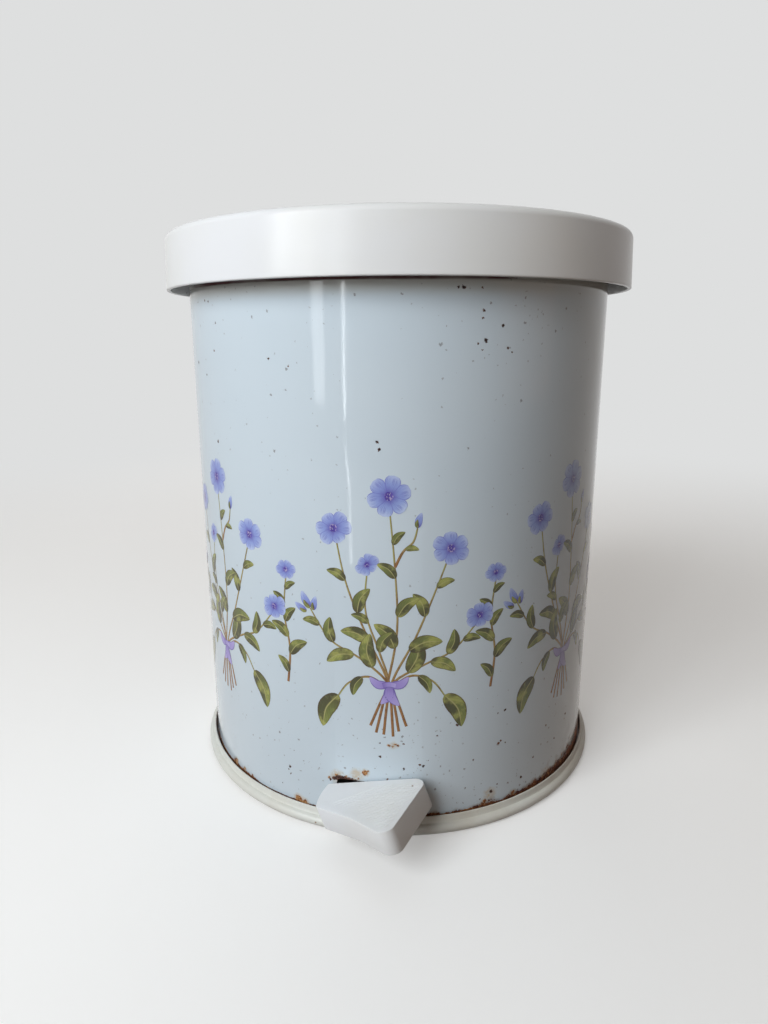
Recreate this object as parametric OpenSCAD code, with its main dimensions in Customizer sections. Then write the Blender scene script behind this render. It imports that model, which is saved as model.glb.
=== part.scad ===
// Pedal trash can: a painted steel body on a plastic base, with a plastic lid
// that a pedal lifts through a lever, a push rod and a crank at the back hinge.
// Millimetres, +Z up. The origin is the centre of the base's flat underside.
// The pedal is at -Y and the lid's hinge at +Y.

/* [Body] */
// Outer radius of the steel body
body_r = 125; // [120:1:130]
// Height of the body's top edge above the floor
body_top = 300; // [290:1:315]
// Thickness of the body's sheet
sheet_t = 0.6; // [0.5:0.1:0.8]
// Radius of the rolled bead at the body's top
bead_r = 1.6; // [1.2:0.1:1.8]
// Width of the body's bottom flange, turned inwards
flange_w = 14; // [13:0.5:16]
// Width of the lever's slot in the body
slot_w = 46; // [40:1:50]
// Height of the slot's top edge above the floor
slot_top = 30; // [29:0.5:36]
// Height of the slot's bottom edge above the floor
slot_bottom = 9.6; // [9:0.1:10]
// Width of the folded seam on the body's back
seam_w = 6; // [4:0.5:9]

/* [Base] */
// Thickness of the base's floor
floor_t = 3; // [2.5:0.1:3.5]
// Height of the seat under the body's flange
seat_z = 5; // [4.5:0.1:5.5]
// Height of the base ring's inner edge
ring_top = 10; // [9:0.1:10.2]
// Gap between the body and the base ring
ring_gap = 1.2; // [0.8:0.1:2.5]
// Width of the base ring outside that gap
ring_w = 4.4; // [4.2:0.1:5.5]
// Radius of the bead round the foot of the base ring
ring_bead_r = 3; // [2:0.1:3]
// Radius of the posts under the bucket
post_r = 7; // [5:0.5:9]

/* [Lid] */
// How far the lid's lower edge stands out from the body
lid_overhang = 12.5; // [11.5:0.5:17]
// Height of the lid's skirt
skirt_h = 30; // [28:0.5:36]
// How far the skirt reaches below the body's top edge
skirt_overlap = 11.5; // [10:0.5:13]
// Wall thickness of the lid
lid_wall = 2.2; // [1.8:0.1:2.6]
// Radius of the lid's rounded top edge
lid_round = 4; // [3:0.5:6]
// How much the skirt leans in towards the top
lid_draft = 1; // [0:0.1:2]
// Rise of the lid's domed top
dome_h = 4; // [2:0.5:8]
// Width of the skirt's cut-out at the hinge
hinge_cut_w = 68; // [64:1:74]

/* [Hinge and crank] */
// Distance of the hinge axis behind the body
hinge_out = 6; // [5.7:0.1:6.5]
// Distance of the hinge axis below the body's top edge
hinge_drop = 3; // [2.5:0.1:3.5]
// Radius of the hinge pin
hinge_pin_r = 2; // [1.6:0.1:2.2]
// Reach of the crank from the hinge axis to the push rod
crank_reach = 11.2; // [11:0.1:12]
// Opening angle of the lid
lid_open = 75; // [60:1:80]
// Thickness of the hinge's steel
plate_t = 1.6; // [1.2:0.1:2]
// Width of the lid's hinge barrel
barrel_w = 25; // [20:0.5:28]
// Width of the bracket on the body's back
bracket_w = 52; // [46:1:60]

/* [Push rod] */
// Radius of the push rod
rod_r = 2; // [1.6:0.1:2.2]
// Length of the rod's bent end across the crank
rod_hook = 8.6; // [8:0.1:10]
// Height of the lower rod guide
guide_low_z = 110; // [80:1:140]
// Distance of the upper rod guide below the body's top edge
guide_high_drop = 70; // [60:1:110]

/* [Pedal] */
// Height of the pedal's axle above the floor
axle_z = 18; // [17.5:0.1:18.5]
// Distance of the pedal's axle in front of the body's centre
axle_front = 15; // [5:1:25]
// Radius of the pedal's axle
axle_r = 2.5; // [2:0.1:2.7]
// Thickness of the lever's steel
lever_t = 2; // [1.6:0.1:2.2]
// Height of the lever's underside above the axle
lever_rise = 5; // [4.8:0.1:5.5]
// Height of the pedal pad's top above the lever
pad_rise = 7; // [6.5:0.1:8]
// Half width of the lever's strip
lever_half_w = 12; // [9:0.5:13]
// Distance of the pad's screw in front of the body
pad_screw_out = 20; // [18:0.5:24]
// Depth of the pedal pad's skirt
pad_h = 13.3; // [12:0.1:14]
// Wall thickness of the pedal pad
pad_wall = 2.2; // [1.6:0.1:2.6]
// Sideways tilt of the pedal pad
pad_roll = 7.7; // [5:0.1:9]
// Sideways lean of the pedal pad's skirt from square to its top
pad_lean = 12; // [6:0.5:14]

/* [Inner bucket] */
// Gap between the body and the bucket's rim
rim_gap = 15; // [13:0.5:18]
// Distance of the bucket's rim below the body's top edge
rim_drop = 32; // [30:1:45]
// Height of the bucket's underside above the floor
bucket_z = 42; // [40:0.5:48]
// Wall thickness of the bucket
bucket_wall = 1.8; // [1.4:0.1:2.4]
// How much narrower the bucket's bottom is than its top
bucket_taper = 8.5; // [6:0.5:12]
// Radius of the bail's wire
bail_wire_r = 2; // [1.5:0.1:2.2]
// How far the bail's bow stands out from the bucket's rim
bail_out = 4.5; // [4:0.5:6]
// Angle at which the bail hangs below the rim
bail_drop = 17; // [12:0.5:18]
// Half of the angle that the bail's grip spans
grip_half = 17; // [10:1:30]

/* [Hidden] */
$fn = 96;

cut = 1;           // how far a cutting shape runs past the face it cuts
touch = 0.05;      // clearance of sheets, rivets and screws that sit on each other
run = 0.05;        // radial running clearance of pins and axles
clear = 0.3;       // clearance between pieces that pass each other

// Body and base
body_in = body_r - sheet_t;
ring_in = body_r + ring_gap;
ring_r = ring_in + ring_w;
ring_lip = 1;
seat_in = body_in - flange_w - clear;
screw_r = 1.6;
screw_head_r = 3.6;
screw_head_h = 2.2;
base_screw_pos = body_in - flange_w / 2;
base_screw_angles = [45, 135, 225, 315];
post_angle = 43;
post_inset = 9;
post_wall = 2;
seam_angle = 122;
slot_corner = 3;
notch_side = 1;
wall_reach = 6;    // how far a cut through the body's wall runs on each side of it

// Lid and hinge
lid_r = body_r + lid_overhang;
skirt_z = body_top - skirt_overlap;
lid_edge_z = skirt_z + skirt_h;
lid_in = lid_r - lid_wall;
lid_top_r = lid_r - lid_draft;
lid_under_z = lid_edge_z - lid_wall;
hinge_y = body_r + hinge_out;
hinge_z = body_top - hinge_drop;
barrel_r = hinge_pin_r + 2;
ear_r = hinge_pin_r + 3;
ear_gap = 0.6;
ear_x = barrel_w / 2 + ear_gap;
pin_half = ear_x + plate_t + 3;
clip_t = 1.2;
hinge_cut_top = hinge_z + 8;
flange_top = lid_under_z - 1.6;
boss_r = 4.2;
lid_screws = [[-13, 22], [13, 22], [0, 34]];
plate_neck = 12;
plate_wing = [19, 17, 26];     // half width of the plate's wings, and where they start and end
plate_nose = [6, 40];
bracket_low = 34;
bracket_up = 5.5;
ear_low = bracket_low - 4;
ear_knee = 20;
bracket_rivet_drops = [12, 27];
rivet_r = 1.6;
rivet_head_r = 3.4;
bracket_rivet_angle = asin((ear_x + plate_t + rivet_head_r + clear) / body_r);
rivet_head_h = 1.1;
seat_rib_w = 2.4;
seat_rib_gap_w = barrel_w + 8;

// Push rod and crank
rod_y = hinge_y - crank_reach;
rod_travel = crank_reach * lid_open * PI / 180;
guide_high_z = body_top - guide_high_drop;
crank_x = rod_r + 1.2;
crank_slot_r = rod_r + clear;
crank_rim = 3.3;
crank_foot = 5;
crank_steps = 15;
rod_clip_r = 4.1;
rod_clip_t = 1.6;
guide_tongue_w = 18;
guide_t = 1.2;
guide_h = 22;
guide_rivet_up = 6.5;

// Pedal
axle_y = -axle_front;
lever_z = axle_z + lever_rise;
lever_top = lever_z + lever_t;
pedal_angle = asin(rod_travel / (rod_y - axle_y));
bush_r = axle_r + 1.5;
ear_half_w = lever_half_w + 3;
lever_ear_l = 36;
lever_tip_half_w = 7;
lever_tip_y = body_in - 1.2;
lever_nose_half_w = 8;
pad_screw_y = -body_r - pad_screw_out;
bracket_x = ear_half_w + 1.5;
bracket_t = 2;
bracket_foot_w = 16;
bracket_half_l = 13;
axle_half = bracket_x + bracket_t + 2.4;
stop_from_wall = 30;
stop_y = -body_r + stop_from_wall;
stop_r = 6;
stop_stem_r = 2.5;

// Pedal pad
pad_top_z = lever_top + pad_rise;
pad_clear = 1.2;
pad_back_y = -body_r - pad_clear;
pad_mid = [-2, pad_back_y - 18.8];
// Its outline about its middle, square to its leaning walls: each corner and its fillet's radius
pad_corners = [
    [[-24.8, 18.8], 1.5],
    [[28.7, 18.8], 5],
    [[10.5, -26.2], 6.2],
    [[-8.3, -11], 40],
    [[-28.2, -0.2], 2.5],
    [[-27.8, 9.8], 40]];
pad_relief_r = ring_r + 1.1;
pad_relief_z = ring_top + (pad_relief_r - axle_front) * sin(pedal_angle) + 0.6;

// Bucket and bail
rim_w = 3.5;
rim_r = body_r - rim_gap;
rim_z = body_top - rim_drop;
bucket_r = rim_r - rim_w;
bucket_low_r = bucket_r - bucket_taper;
post_x = (bucket_low_r - post_r - post_inset) * cos(post_angle);
post_y = (bucket_low_r - post_r - post_inset) * sin(post_angle);
bail_r = rim_r + bail_out;
rim_t = 2.2;
bail_drop_below_rim = 8;
bail_z = rim_z - bail_drop_below_rim;
lug_r = 5.5;
lug_x = bail_r - bail_wire_r - 0.5;
bail_end_x = bucket_r + 1.2;
bail_pin_r = bail_wire_r - 0.1;
grip_r = bail_wire_r + 2;

function arc_pts(c, r, a0, a1, n) =
    [for (i = [0:n]) c + r * [cos(a0 + (a1 - a0) * i / n), sin(a0 + (a1 - a0) * i / n)]];

// Points that round the corner p between its neighbours a and b
function unit(v) = v / norm(v);
function fillet(a, p, b, r, n) =
    let (u = unit(a - p), v = unit(b - p), half = acos(u * v) / 2, m = unit(u + v),
        c = p + m * r / sin(half), reach = r / tan(half),
        s = p + u * reach - c, e = p + v * reach - c)
    [for (i = [0:n]) c + r * unit(s * (1 - i / n) + e * i / n)];

function rounded(list, n) = [
    for (i = [0:len(list) - 1])
        each fillet(list[(i + len(list) - 1) % len(list)][0], list[i][0],
            list[(i + 1) % len(list)][0], list[i][1], n)];

// Height of the lid's domed top above its edge at the radius r
function dome(r, edge_r) = dome_h * (1 - pow(r / edge_r, 2));

// Path of the rod's bent end in the lid, for the lid turned by the angle t
function crank_path(t) = crank_reach * [-cos(t) - t * PI / 180 * sin(t),
    -sin(t) + t * PI / 180 * cos(t)];
function crank_side(t) = [sin(t), -cos(t)];

module ring(r_out, r_in, h) {
    difference() {
        cylinder(r = r_out, h = h, $fn = 180);
        translate([0, 0, -cut])
            cylinder(r = r_in, h = h + 2 * cut, $fn = 180);
    }
}

// Lays a shape drawn in the YZ plane into that plane, centred on X
module in_yz(x, t) {
    translate([x, 0, 0])
        rotate([90, 0, 90])
            linear_extrude(height = t, convexity = 4)
                children();
}

module rod_x(x0, x1, y, z, r) {
    translate([x0, y, z])
        rotate([0, 90, 0])
            cylinder(r = r, h = x1 - x0);
}

module pan_screw(head_r, head_h, shank_r, length) {
    difference() {
        union() {
            cylinder(r = head_r, h = head_h);
            translate([0, 0, -length])
                cylinder(r = shank_r, h = length + head_h / 2);
        }
        for (a = [0, 90])
            rotate([0, 0, a])
                translate([-head_r * 0.6, -0.5, head_h * 0.5])
                    cube([head_r * 1.2, 1, head_h]);
    }
}

// A rivet along +Y: shank from y = 0 to y = grip, a head at each end
module rivet(grip, r) {
    rotate([-90, 0, 0]) {
        translate([0, 0, -rivet_head_h])
            cylinder(r = rivet_head_r, h = rivet_head_h);
        translate([0, 0, -rivet_head_h / 2])
            cylinder(r = r, h = grip + rivet_head_h);
        translate([0, 0, grip])
            cylinder(r = rivet_head_r, h = rivet_head_h);
    }
}

// Bores along Y through a sheet at the radius r, turned by each angle and at each height
module wall_bores(angles, heights, r) {
    for (a = angles, z = heights)
        rotate([0, 0, a])
            translate([0, body_in - 4, z])
                rotate([-90, 0, 0])
                    cylinder(r = r, h = 8, $fn = 32);
}

// ---------- Body and base ----------

module base_ring() {
    rotate_extrude($fn = 180)
        polygon(concat(
            [[ring_in - cut, 0]],
            arc_pts([ring_r - ring_bead_r, ring_bead_r], ring_bead_r, -90, 88, 12),
            arc_pts([ring_in + ring_lip / 2, ring_top - ring_lip / 2], ring_lip / 2, 20, 180, 8),
            [[ring_in, seat_z - 0.2], [ring_in - cut, seat_z - 0.2]]));
}

module base() {
    color("ghostwhite")
        difference() {
            union() {
                cylinder(r = ring_in, h = floor_t, $fn = 180);
                ring(ring_in + 0.2, seat_in, seat_z);
                base_ring();
                for (x = [-post_x, post_x], y = [-post_y, post_y])
                    translate([x, y, 0])
                        cylinder(r = post_r, h = bucket_z - clear);
                translate([0, stop_y, 0])
                    cylinder(r = stop_r, h = floor_t + 1);
            }
            for (x = [-post_x, post_x], y = [-post_y, post_y])
                translate([x, y, floor_t])
                    cylinder(r = post_r - post_wall, h = bucket_z);
            for (a = base_screw_angles)
                rotate([0, 0, a])
                    translate([base_screw_pos, 0, floor_t - 2])
                        cylinder(r = screw_r + touch, h = seat_z);
            axle_bracket_holes(floor_t - 2, floor_t + cut);
            translate([0, stop_y, 1])
                cylinder(r = stop_stem_r + touch, h = floor_t + 1);
        }
}

module body_shell() {
    color("lightsteelblue")
        difference() {
            union() {
                translate([0, 0, seat_z])
                    ring(body_r, body_in, body_top - seat_z - bead_r);
                translate([0, 0, seat_z])
                    ring(body_r, body_in - flange_w, sheet_t);
                rotate_extrude($fn = 180)
                    translate([body_r - sheet_t / 2, body_top - bead_r])
                        circle(r = bead_r, $fn = 32);
                rotate([0, 0, seam_angle])
                    rotate_extrude(angle = seam_w / body_r * 180 / PI, $fn = 180)
                        translate([body_r - sheet_t / 2, ring_top + 1])
                            square([sheet_t * 1.5, body_top - 2 * bead_r - ring_top - 1]);
            }
            lever_slot();
            crank_notch();
            wall_bores([-bracket_rivet_angle, bracket_rivet_angle],
                [for (d = bracket_rivet_drops) hinge_z - d], rivet_r + touch);
            wall_bores([0], [for (z = [guide_low_z, guide_high_z], s = [-1, 1])
                z + s * guide_rivet_up], rivet_r + touch);
            for (a = base_screw_angles)
                rotate([0, 0, a])
                    translate([base_screw_pos, 0, seat_z - cut])
                        cylinder(r = screw_r + 0.4, h = sheet_t + 2 * cut);
        }
}

// The lever's slot: a window with rounded top corners
module lever_slot() {
    translate([0, -body_r + wall_reach, 0])
        rotate([90, 0, 0])
            linear_extrude(height = 2 * wall_reach)
                union() {
                    translate([-slot_w / 2, slot_bottom])
                        square([slot_w, slot_top - slot_corner - slot_bottom]);
                    translate([-slot_w / 2 + slot_corner, slot_bottom])
                        square([slot_w - 2 * slot_corner, slot_top - slot_bottom]);
                    for (s = [-1, 1])
                        translate([s * (slot_w / 2 - slot_corner), slot_top - slot_corner])
                            circle(r = slot_corner, $fn = 32);
                }
}

// Notch in the body's rim that the crank and the rod's bent end pass through
module crank_notch() {
    translate([crank_x - notch_side, body_r - wall_reach, hinge_z - crank_foot - notch_side])
        cube([rod_hook - crank_x + 2 * notch_side, 2 * wall_reach, body_top]);
}

module base_screws() {
    color("silver")
        for (a = base_screw_angles)
            rotate([0, 0, a])
                translate([base_screw_pos, 0, seat_z + sheet_t])
                    pan_screw(screw_head_r, screw_head_h, screw_r, seat_z - floor_t + 2);
}

// ---------- Lid ----------

module lid_profile() {
    top_c = [lid_top_r - lid_round, lid_edge_z - lid_round];
    polygon(concat(
        [[lid_in, skirt_z], [lid_r - 0.4, skirt_z], [lid_r, skirt_z + 0.6]],
        arc_pts(top_c, lid_round, 4, 86, 10),
        [for (i = [0:14]) let (r = top_c[0] * (1 - i / 14)) [r, lid_edge_z + dome(r, top_c[0])]],
        [for (i = [0:14]) let (r = (top_c[0] - 1) * i / 14) [r, lid_under_z + dome(r, top_c[0])]],
        arc_pts(top_c, lid_round - lid_wall + 0.2, 80, 8, 6)));
}

module lid() {
    color("white")
        difference() {
            union() {
                rotate_extrude($fn = 180)
                    lid_profile();
                difference() {
                    translate([0, 0, body_top + clear])
                        ring(body_r + 0.9, body_r + 0.9 - seat_rib_w,
                            lid_under_z + dome(body_r, lid_top_r) - body_top);
                    translate([-seat_rib_gap_w / 2, 0, 0])
                        cube([seat_rib_gap_w, lid_r, lid_edge_z * 2]);
                }
                for (s = lid_screws)
                    let (reach = norm([s[0], hinge_y - s[1]]) - boss_r)
                        translate([s[0], hinge_y - s[1], flange_top + touch])
                            cylinder(r = boss_r,
                                h = lid_under_z - flange_top + dome(reach, lid_top_r));
            }
            translate([-hinge_cut_w / 2, body_r - 15, skirt_z - cut])
                cube([hinge_cut_w, lid_r, hinge_cut_top - skirt_z + cut]);
            for (s = lid_screws)
                translate([s[0], hinge_y - s[1], flange_top - cut])
                    cylinder(r = screw_r + touch, h = 4.2);
        }
}

module crank_band(half_w) {
    union() {
        polygon(concat(
            [for (i = [0:crank_steps]) let (t = lid_open * i / crank_steps)
                crank_path(t) + half_w * crank_side(t)],
            [for (i = [crank_steps:-1:0]) let (t = lid_open * i / crank_steps)
                crank_path(t) - half_w * crank_side(t)]));
        for (t = [0, lid_open])
            translate(crank_path(t))
                circle(r = half_w, $fn = 48);
    }
}

module crank_plate() {
    translate([0, hinge_y, hinge_z])
        in_yz(crank_x, plate_t)
            difference() {
                union() {
                    crank_band(crank_slot_r + crank_rim);
                    translate([-crank_reach, -crank_foot])
                        square([crank_reach, crank_foot + barrel_r]);
                    circle(r = barrel_r);
                    polygon([[0, -barrel_r], [0, -crank_foot], [-1, -crank_foot]]);
                }
                crank_band(crank_slot_r);
                circle(r = hinge_pin_r + run);
            }
}

module lid_hinge_plate() {
    leg_back = sqrt(pow(lid_in - lid_draft, 2) - pow(barrel_w / 2, 2)) - clear;
    color("silver")
        difference() {
            union() {
                rod_x(-barrel_w / 2, barrel_w / 2, hinge_y, hinge_z, barrel_r);
                translate([-barrel_w / 2, leg_back - plate_t, hinge_z])
                    cube([barrel_w, plate_t, flange_top - hinge_z]);
                translate([0, 0, flange_top - plate_t])
                    linear_extrude(height = plate_t)
                        polygon([[-barrel_w / 2, leg_back], [barrel_w / 2, leg_back],
                            [barrel_w / 2, hinge_y - plate_neck],
                            [plate_wing[0], hinge_y - plate_wing[1]],
                            [plate_wing[0], hinge_y - plate_wing[2]],
                            [plate_nose[0], hinge_y - plate_nose[1]],
                            [-plate_nose[0], hinge_y - plate_nose[1]],
                            [-plate_wing[0], hinge_y - plate_wing[2]],
                            [-plate_wing[0], hinge_y - plate_wing[1]],
                            [-barrel_w / 2, hinge_y - plate_neck]]);
                crank_plate();
            }
            rod_x(-barrel_w, barrel_w, hinge_y, hinge_z, hinge_pin_r + run);
            for (s = lid_screws)
                translate([s[0], hinge_y - s[1], flange_top - plate_t - cut])
                    cylinder(r = screw_r + 0.3, h = plate_t + 2 * cut);
        }
}

module lid_plate_screws() {
    color("gainsboro")
        for (s = lid_screws)
            translate([s[0], hinge_y - s[1], flange_top - plate_t])
                mirror([0, 0, 1])
                    pan_screw(screw_head_r - 0.4, screw_head_h, screw_r, plate_t + 3);
}

// ---------- Hinge on the body's back ----------

module bracket_ear(x) {
    in_yz(x, plate_t)
        difference() {
            union() {
                translate([hinge_y, hinge_z])
                    circle(r = ear_r);
                polygon([[body_r + touch, hinge_z - ear_low], [body_r + plate_t, hinge_z - ear_low],
                    [hinge_y + 2, hinge_z - ear_knee], [hinge_y + ear_r, hinge_z],
                    [hinge_y - ear_r + 0.4, hinge_z], [body_r + touch, hinge_z - 5]]);
            }
            translate([hinge_y, hinge_z])
                circle(r = hinge_pin_r + run);
        }
}

module hinge_bracket() {
    plate_in = body_r + touch;
    color("silver")
        difference() {
            union() {
                intersection() {
                    translate([0, 0, hinge_z - bracket_low])
                        ring(plate_in + plate_t, plate_in, bracket_low - bracket_up);
                    translate([-bracket_w / 2, 0, 0])
                        cube([bracket_w, body_r * 2, body_top * 2]);
                }
                intersection() {
                    union() {
                        bracket_ear(ear_x);
                        bracket_ear(-ear_x - plate_t);
                    }
                    difference() {
                        translate([-bracket_w / 2, body_r / 2, 0])
                            cube([bracket_w, body_r, body_top * 2]);
                        cylinder(r = plate_in, h = body_top * 2, $fn = 180);
                        translate([0, 0, body_top - 2 * bead_r - clear])
                            cylinder(r = body_r + bead_r + touch, h = body_top, $fn = 180);
                    }
                }
            }
            wall_bores([-bracket_rivet_angle, bracket_rivet_angle],
                [for (d = bracket_rivet_drops) hinge_z - d], rivet_r + touch);
        }
}

module bracket_rivets() {
    color("lightgray")
        for (a = [-bracket_rivet_angle, bracket_rivet_angle], d = bracket_rivet_drops)
            rotate([0, 0, a])
                translate([0, body_in - touch, hinge_z - d])
                    rivet(sheet_t + plate_t + 3 * touch, rivet_r);
}

module hinge_pin() {
    color("gray")
        rod_x(-pin_half, pin_half, hinge_y, hinge_z, hinge_pin_r);
}

module end_clips(x, y, z, hole_r, out_r) {
    for (s = [-1, 1])
        difference() {
            rod_x(s * x - clip_t / 2, s * x + clip_t / 2, y, z, out_r);
            rod_x(s * x - clip_t, s * x + clip_t, y, z, hole_r + touch);
        }
}

module pin_clips() {
    color("dimgray")
        end_clips(ear_x + plate_t + clear + clip_t / 2, hinge_y, hinge_z, hinge_pin_r, ear_r - 0.8);
}

// ---------- Push rod and its guides ----------

module push_rod() {
    bend_r = rod_r + 0.6;
    rod_low = lever_z - 4.4;
    color("gray")
        union() {
            translate([0, rod_y, rod_low])
                cylinder(r = rod_r, h = hinge_z - bend_r - rod_low);
            translate([bend_r, rod_y, hinge_z - bend_r])
                rotate([90, 0, 0])
                    rotate([0, 0, 90])
                        rotate_extrude(angle = 90, $fn = 64)
                            translate([bend_r, 0])
                                circle(r = rod_r);
            rod_x(bend_r, rod_hook, rod_y, hinge_z, rod_r);
        }
}

module rod_washer(r) {
    difference() {
        cylinder(r = r, h = rod_clip_t);
        translate([0, 0, -cut])
            cylinder(r = rod_r + touch, h = rod_clip_t + 2 * cut);
    }
}

module rod_clips() {
    hook_clip_x = crank_x + plate_t + 0.5;
    color("dimgray") {
        translate([0, rod_y, lever_top + 0.5])
            rod_washer(rod_clip_r);
        translate([0, rod_y, lever_z - 0.8 - rod_clip_t])
            rod_washer(rod_clip_r);
        difference() {
            rod_x(hook_clip_x, hook_clip_x + clip_t, rod_y, hinge_z, rod_r + 1.5);
            rod_x(hook_clip_x - cut, hook_clip_x + 2 * cut + clip_t, rod_y, hinge_z, rod_r + touch);
        }
    }
}

module rod_guide(z) {
    plate_out = body_in - touch;
    translate([0, 0, z])
        difference() {
            union() {
                intersection() {
                    translate([0, 0, -guide_h / 2])
                        ring(plate_out, plate_out - guide_t, guide_h);
                    translate([-guide_tongue_w / 2, 0, -guide_h])
                        cube([guide_tongue_w, body_r, guide_h * 2]);
                }
                intersection() {
                    translate([0, 0, -guide_t / 2])
                        cylinder(r = plate_out - guide_t / 2, h = guide_t, $fn = 180);
                    translate([-guide_tongue_w / 2, rod_y - rod_r - 2.6, -guide_t])
                        cube([guide_tongue_w, body_r, guide_t * 2]);
                }
            }
            translate([0, rod_y, -guide_t])
                cylinder(r = rod_r + 2 * run, h = guide_t * 2);
            wall_bores([0], [-guide_rivet_up, guide_rivet_up], rivet_r + touch);
        }
}

module rod_guide_lower() {
    color("darkgray")
        rod_guide(guide_low_z);
}

module rod_guide_upper() {
    color("darkgray")
        rod_guide(guide_high_z);
}

// Flat-headed rivets: the inner head is thin, so that the rod passes it
module guide_rivets() {
    inner_head = 0.5;
    color("lightgray")
        for (z = [guide_low_z, guide_high_z], s = [-1, 1])
            translate([0, body_in - touch - guide_t - touch, z + s * guide_rivet_up])
                rotate([-90, 0, 0]) {
                    translate([0, 0, -inner_head])
                        cylinder(r = rivet_head_r - 0.6, h = inner_head);
                    cylinder(r = rivet_r, h = guide_t + sheet_t + 4 * touch);
                    translate([0, 0, guide_t + sheet_t + 3 * touch])
                        cylinder(r = rivet_head_r, h = rivet_head_h);
                }
}

// ---------- Pedal ----------

module lever_outline() {
    nose = lever_nose_half_w;
    union() {
        polygon([[-nose, pad_screw_y], [nose, pad_screw_y],
            [lever_half_w, -body_r + 6], [lever_half_w, axle_y - lever_ear_l / 2 - 6],
            [ear_half_w, axle_y - lever_ear_l / 2], [ear_half_w, axle_y + lever_ear_l / 2],
            [lever_half_w, axle_y + lever_ear_l / 2 + 6], [lever_tip_half_w, rod_y - 24],
            [lever_tip_half_w, lever_tip_y], [-lever_tip_half_w, lever_tip_y],
            [-lever_tip_half_w, rod_y - 24], [-lever_half_w, axle_y + lever_ear_l / 2 + 6],
            [-ear_half_w, axle_y + lever_ear_l / 2], [-ear_half_w, axle_y - lever_ear_l / 2],
            [-lever_half_w, axle_y - lever_ear_l / 2 - 6], [-lever_half_w, -body_r + 6]]);
        translate([0, pad_screw_y])
            circle(r = nose);
    }
}

module lever_ear(x) {
    in_yz(x, lever_t)
        difference() {
            union() {
                translate([axle_y, axle_z])
                    circle(r = bush_r + 3);
                polygon([[axle_y - lever_ear_l / 2, lever_top], [axle_y - bush_r - 3, axle_z],
                    [axle_y + bush_r + 3, axle_z], [axle_y + lever_ear_l / 2, lever_top]]);
            }
            translate([axle_y, axle_z])
                circle(r = bush_r + touch);
        }
}

// Pressed steel lever: ears on the axle, a fork round the push rod at the back
module pedal_lever() {
    fork = rod_r + clear;
    color("gray")
        difference() {
            union() {
                translate([0, 0, lever_z])
                    linear_extrude(height = lever_t)
                        lever_outline();
                lever_ear(ear_half_w - lever_t);
                lever_ear(-ear_half_w);
            }
            translate([-fork, rod_y - 1.5, lever_z - cut])
                cube([2 * fork, body_r, lever_t + 2 * cut]);
            translate([0, rod_y - 1.5, lever_z - cut])
                cylinder(r = fork, h = lever_t + 2 * cut);
            translate([0, pad_screw_y, lever_z - cut])
                cylinder(r = screw_r + 0.4, h = lever_t + 2 * cut);
        }
}

module lever_bush() {
    half = ear_half_w + 1.1;
    color("ivory")
        difference() {
            rod_x(-half, half, axle_y, axle_z, bush_r);
            rod_x(-half - cut, half + cut, axle_y, axle_z, axle_r + run);
        }
}

// The pad's block in its own plane, where z = 0 is the top face: its walls lean by pad_lean
module pad_block(inset, top, bottom) {
    side = 4 * pad_h;
    intersection() {
        rotate([0, -pad_lean, 0])
            translate([0, 0, -side])
                linear_extrude(height = 2 * side)
                    offset(delta = -inset)
                        polygon(rounded(pad_corners, 6));
        translate([-2 * side, -2 * side, -bottom])
            cube([4 * side, 4 * side, bottom - top]);
    }
}

module pad_place() {
    translate([pad_mid[0], pad_mid[1], pad_top_z + tan(pad_roll) * pad_mid[0]])
        rotate([0, -pad_roll, 0])
            children();
}

module pedal_pad() {
    boss_top = pad_top_z - pad_wall / 2;
    color("white")
        difference() {
            union() {
                difference() {
                    pad_place()
                        pad_block(0, 0, pad_h);
                    pad_place()
                        pad_block(pad_wall, pad_wall, pad_h + cut);
                    cylinder(r = pad_relief_r, h = pad_relief_z, $fn = 180);
                    cylinder(r = body_r + pad_clear / 2, h = body_top, $fn = 180);
                    translate([-lever_half_w - 1.5, pad_back_y - 8, 0])
                        cube([2 * lever_half_w + 3, 10, lever_top + 0.6]);
                }
                translate([0, pad_screw_y, lever_top + touch])
                    cylinder(r = 5, h = boss_top - lever_top);
            }
            translate([0, pad_screw_y, 0])
                cylinder(r = screw_r + touch, h = pad_top_z - pad_wall + 0.6);
        }
}

module pad_screw() {
    color("silver")
        translate([0, pad_screw_y, lever_z])
            mirror([0, 0, 1])
                pan_screw(screw_head_r, screw_head_h, screw_r, lever_t + 4);
}

module pedal_axle() {
    color("gray")
        rod_x(-axle_half, axle_half, axle_y, axle_z, axle_r);
}

module axle_clips() {
    color("dimgray")
        end_clips(bracket_x + bracket_t + clear + clip_t / 2, axle_y, axle_z, axle_r, axle_r + 2);
}

module axle_bracket_holes(z0, z1) {
    for (s = [-1, 1], d = [-1, 1])
        translate([s * (bracket_x + bracket_foot_w * 0.62), axle_y + d * bracket_half_l * 0.58, z0])
            cylinder(r = screw_r + touch, h = z1 - z0);
}

// L bracket with its foot pointing away from the lever
module axle_bracket(side) {
    top_r = axle_r + 4;
    x = side > 0 ? bracket_x : -bracket_x - bracket_t;
    foot_x = side > 0 ? bracket_x : -bracket_x - bracket_foot_w;
    difference() {
        union() {
            in_yz(x, bracket_t)
                union() {
                    translate([axle_y, axle_z])
                        circle(r = top_r);
                    polygon([[axle_y - bracket_half_l, floor_t],
                        [axle_y + bracket_half_l, floor_t],
                        [axle_y + bracket_half_l, floor_t + bracket_t],
                        [axle_y + top_r, axle_z], [axle_y - top_r, axle_z],
                        [axle_y - bracket_half_l, floor_t + bracket_t]]);
                }
            translate([foot_x, axle_y - bracket_half_l, floor_t])
                cube([bracket_foot_w, 2 * bracket_half_l, bracket_t]);
        }
        rod_x(-bracket_x * 2, bracket_x * 2, axle_y, axle_z, axle_r + run);
        axle_bracket_holes(0, lever_z);
    }
}

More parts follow.
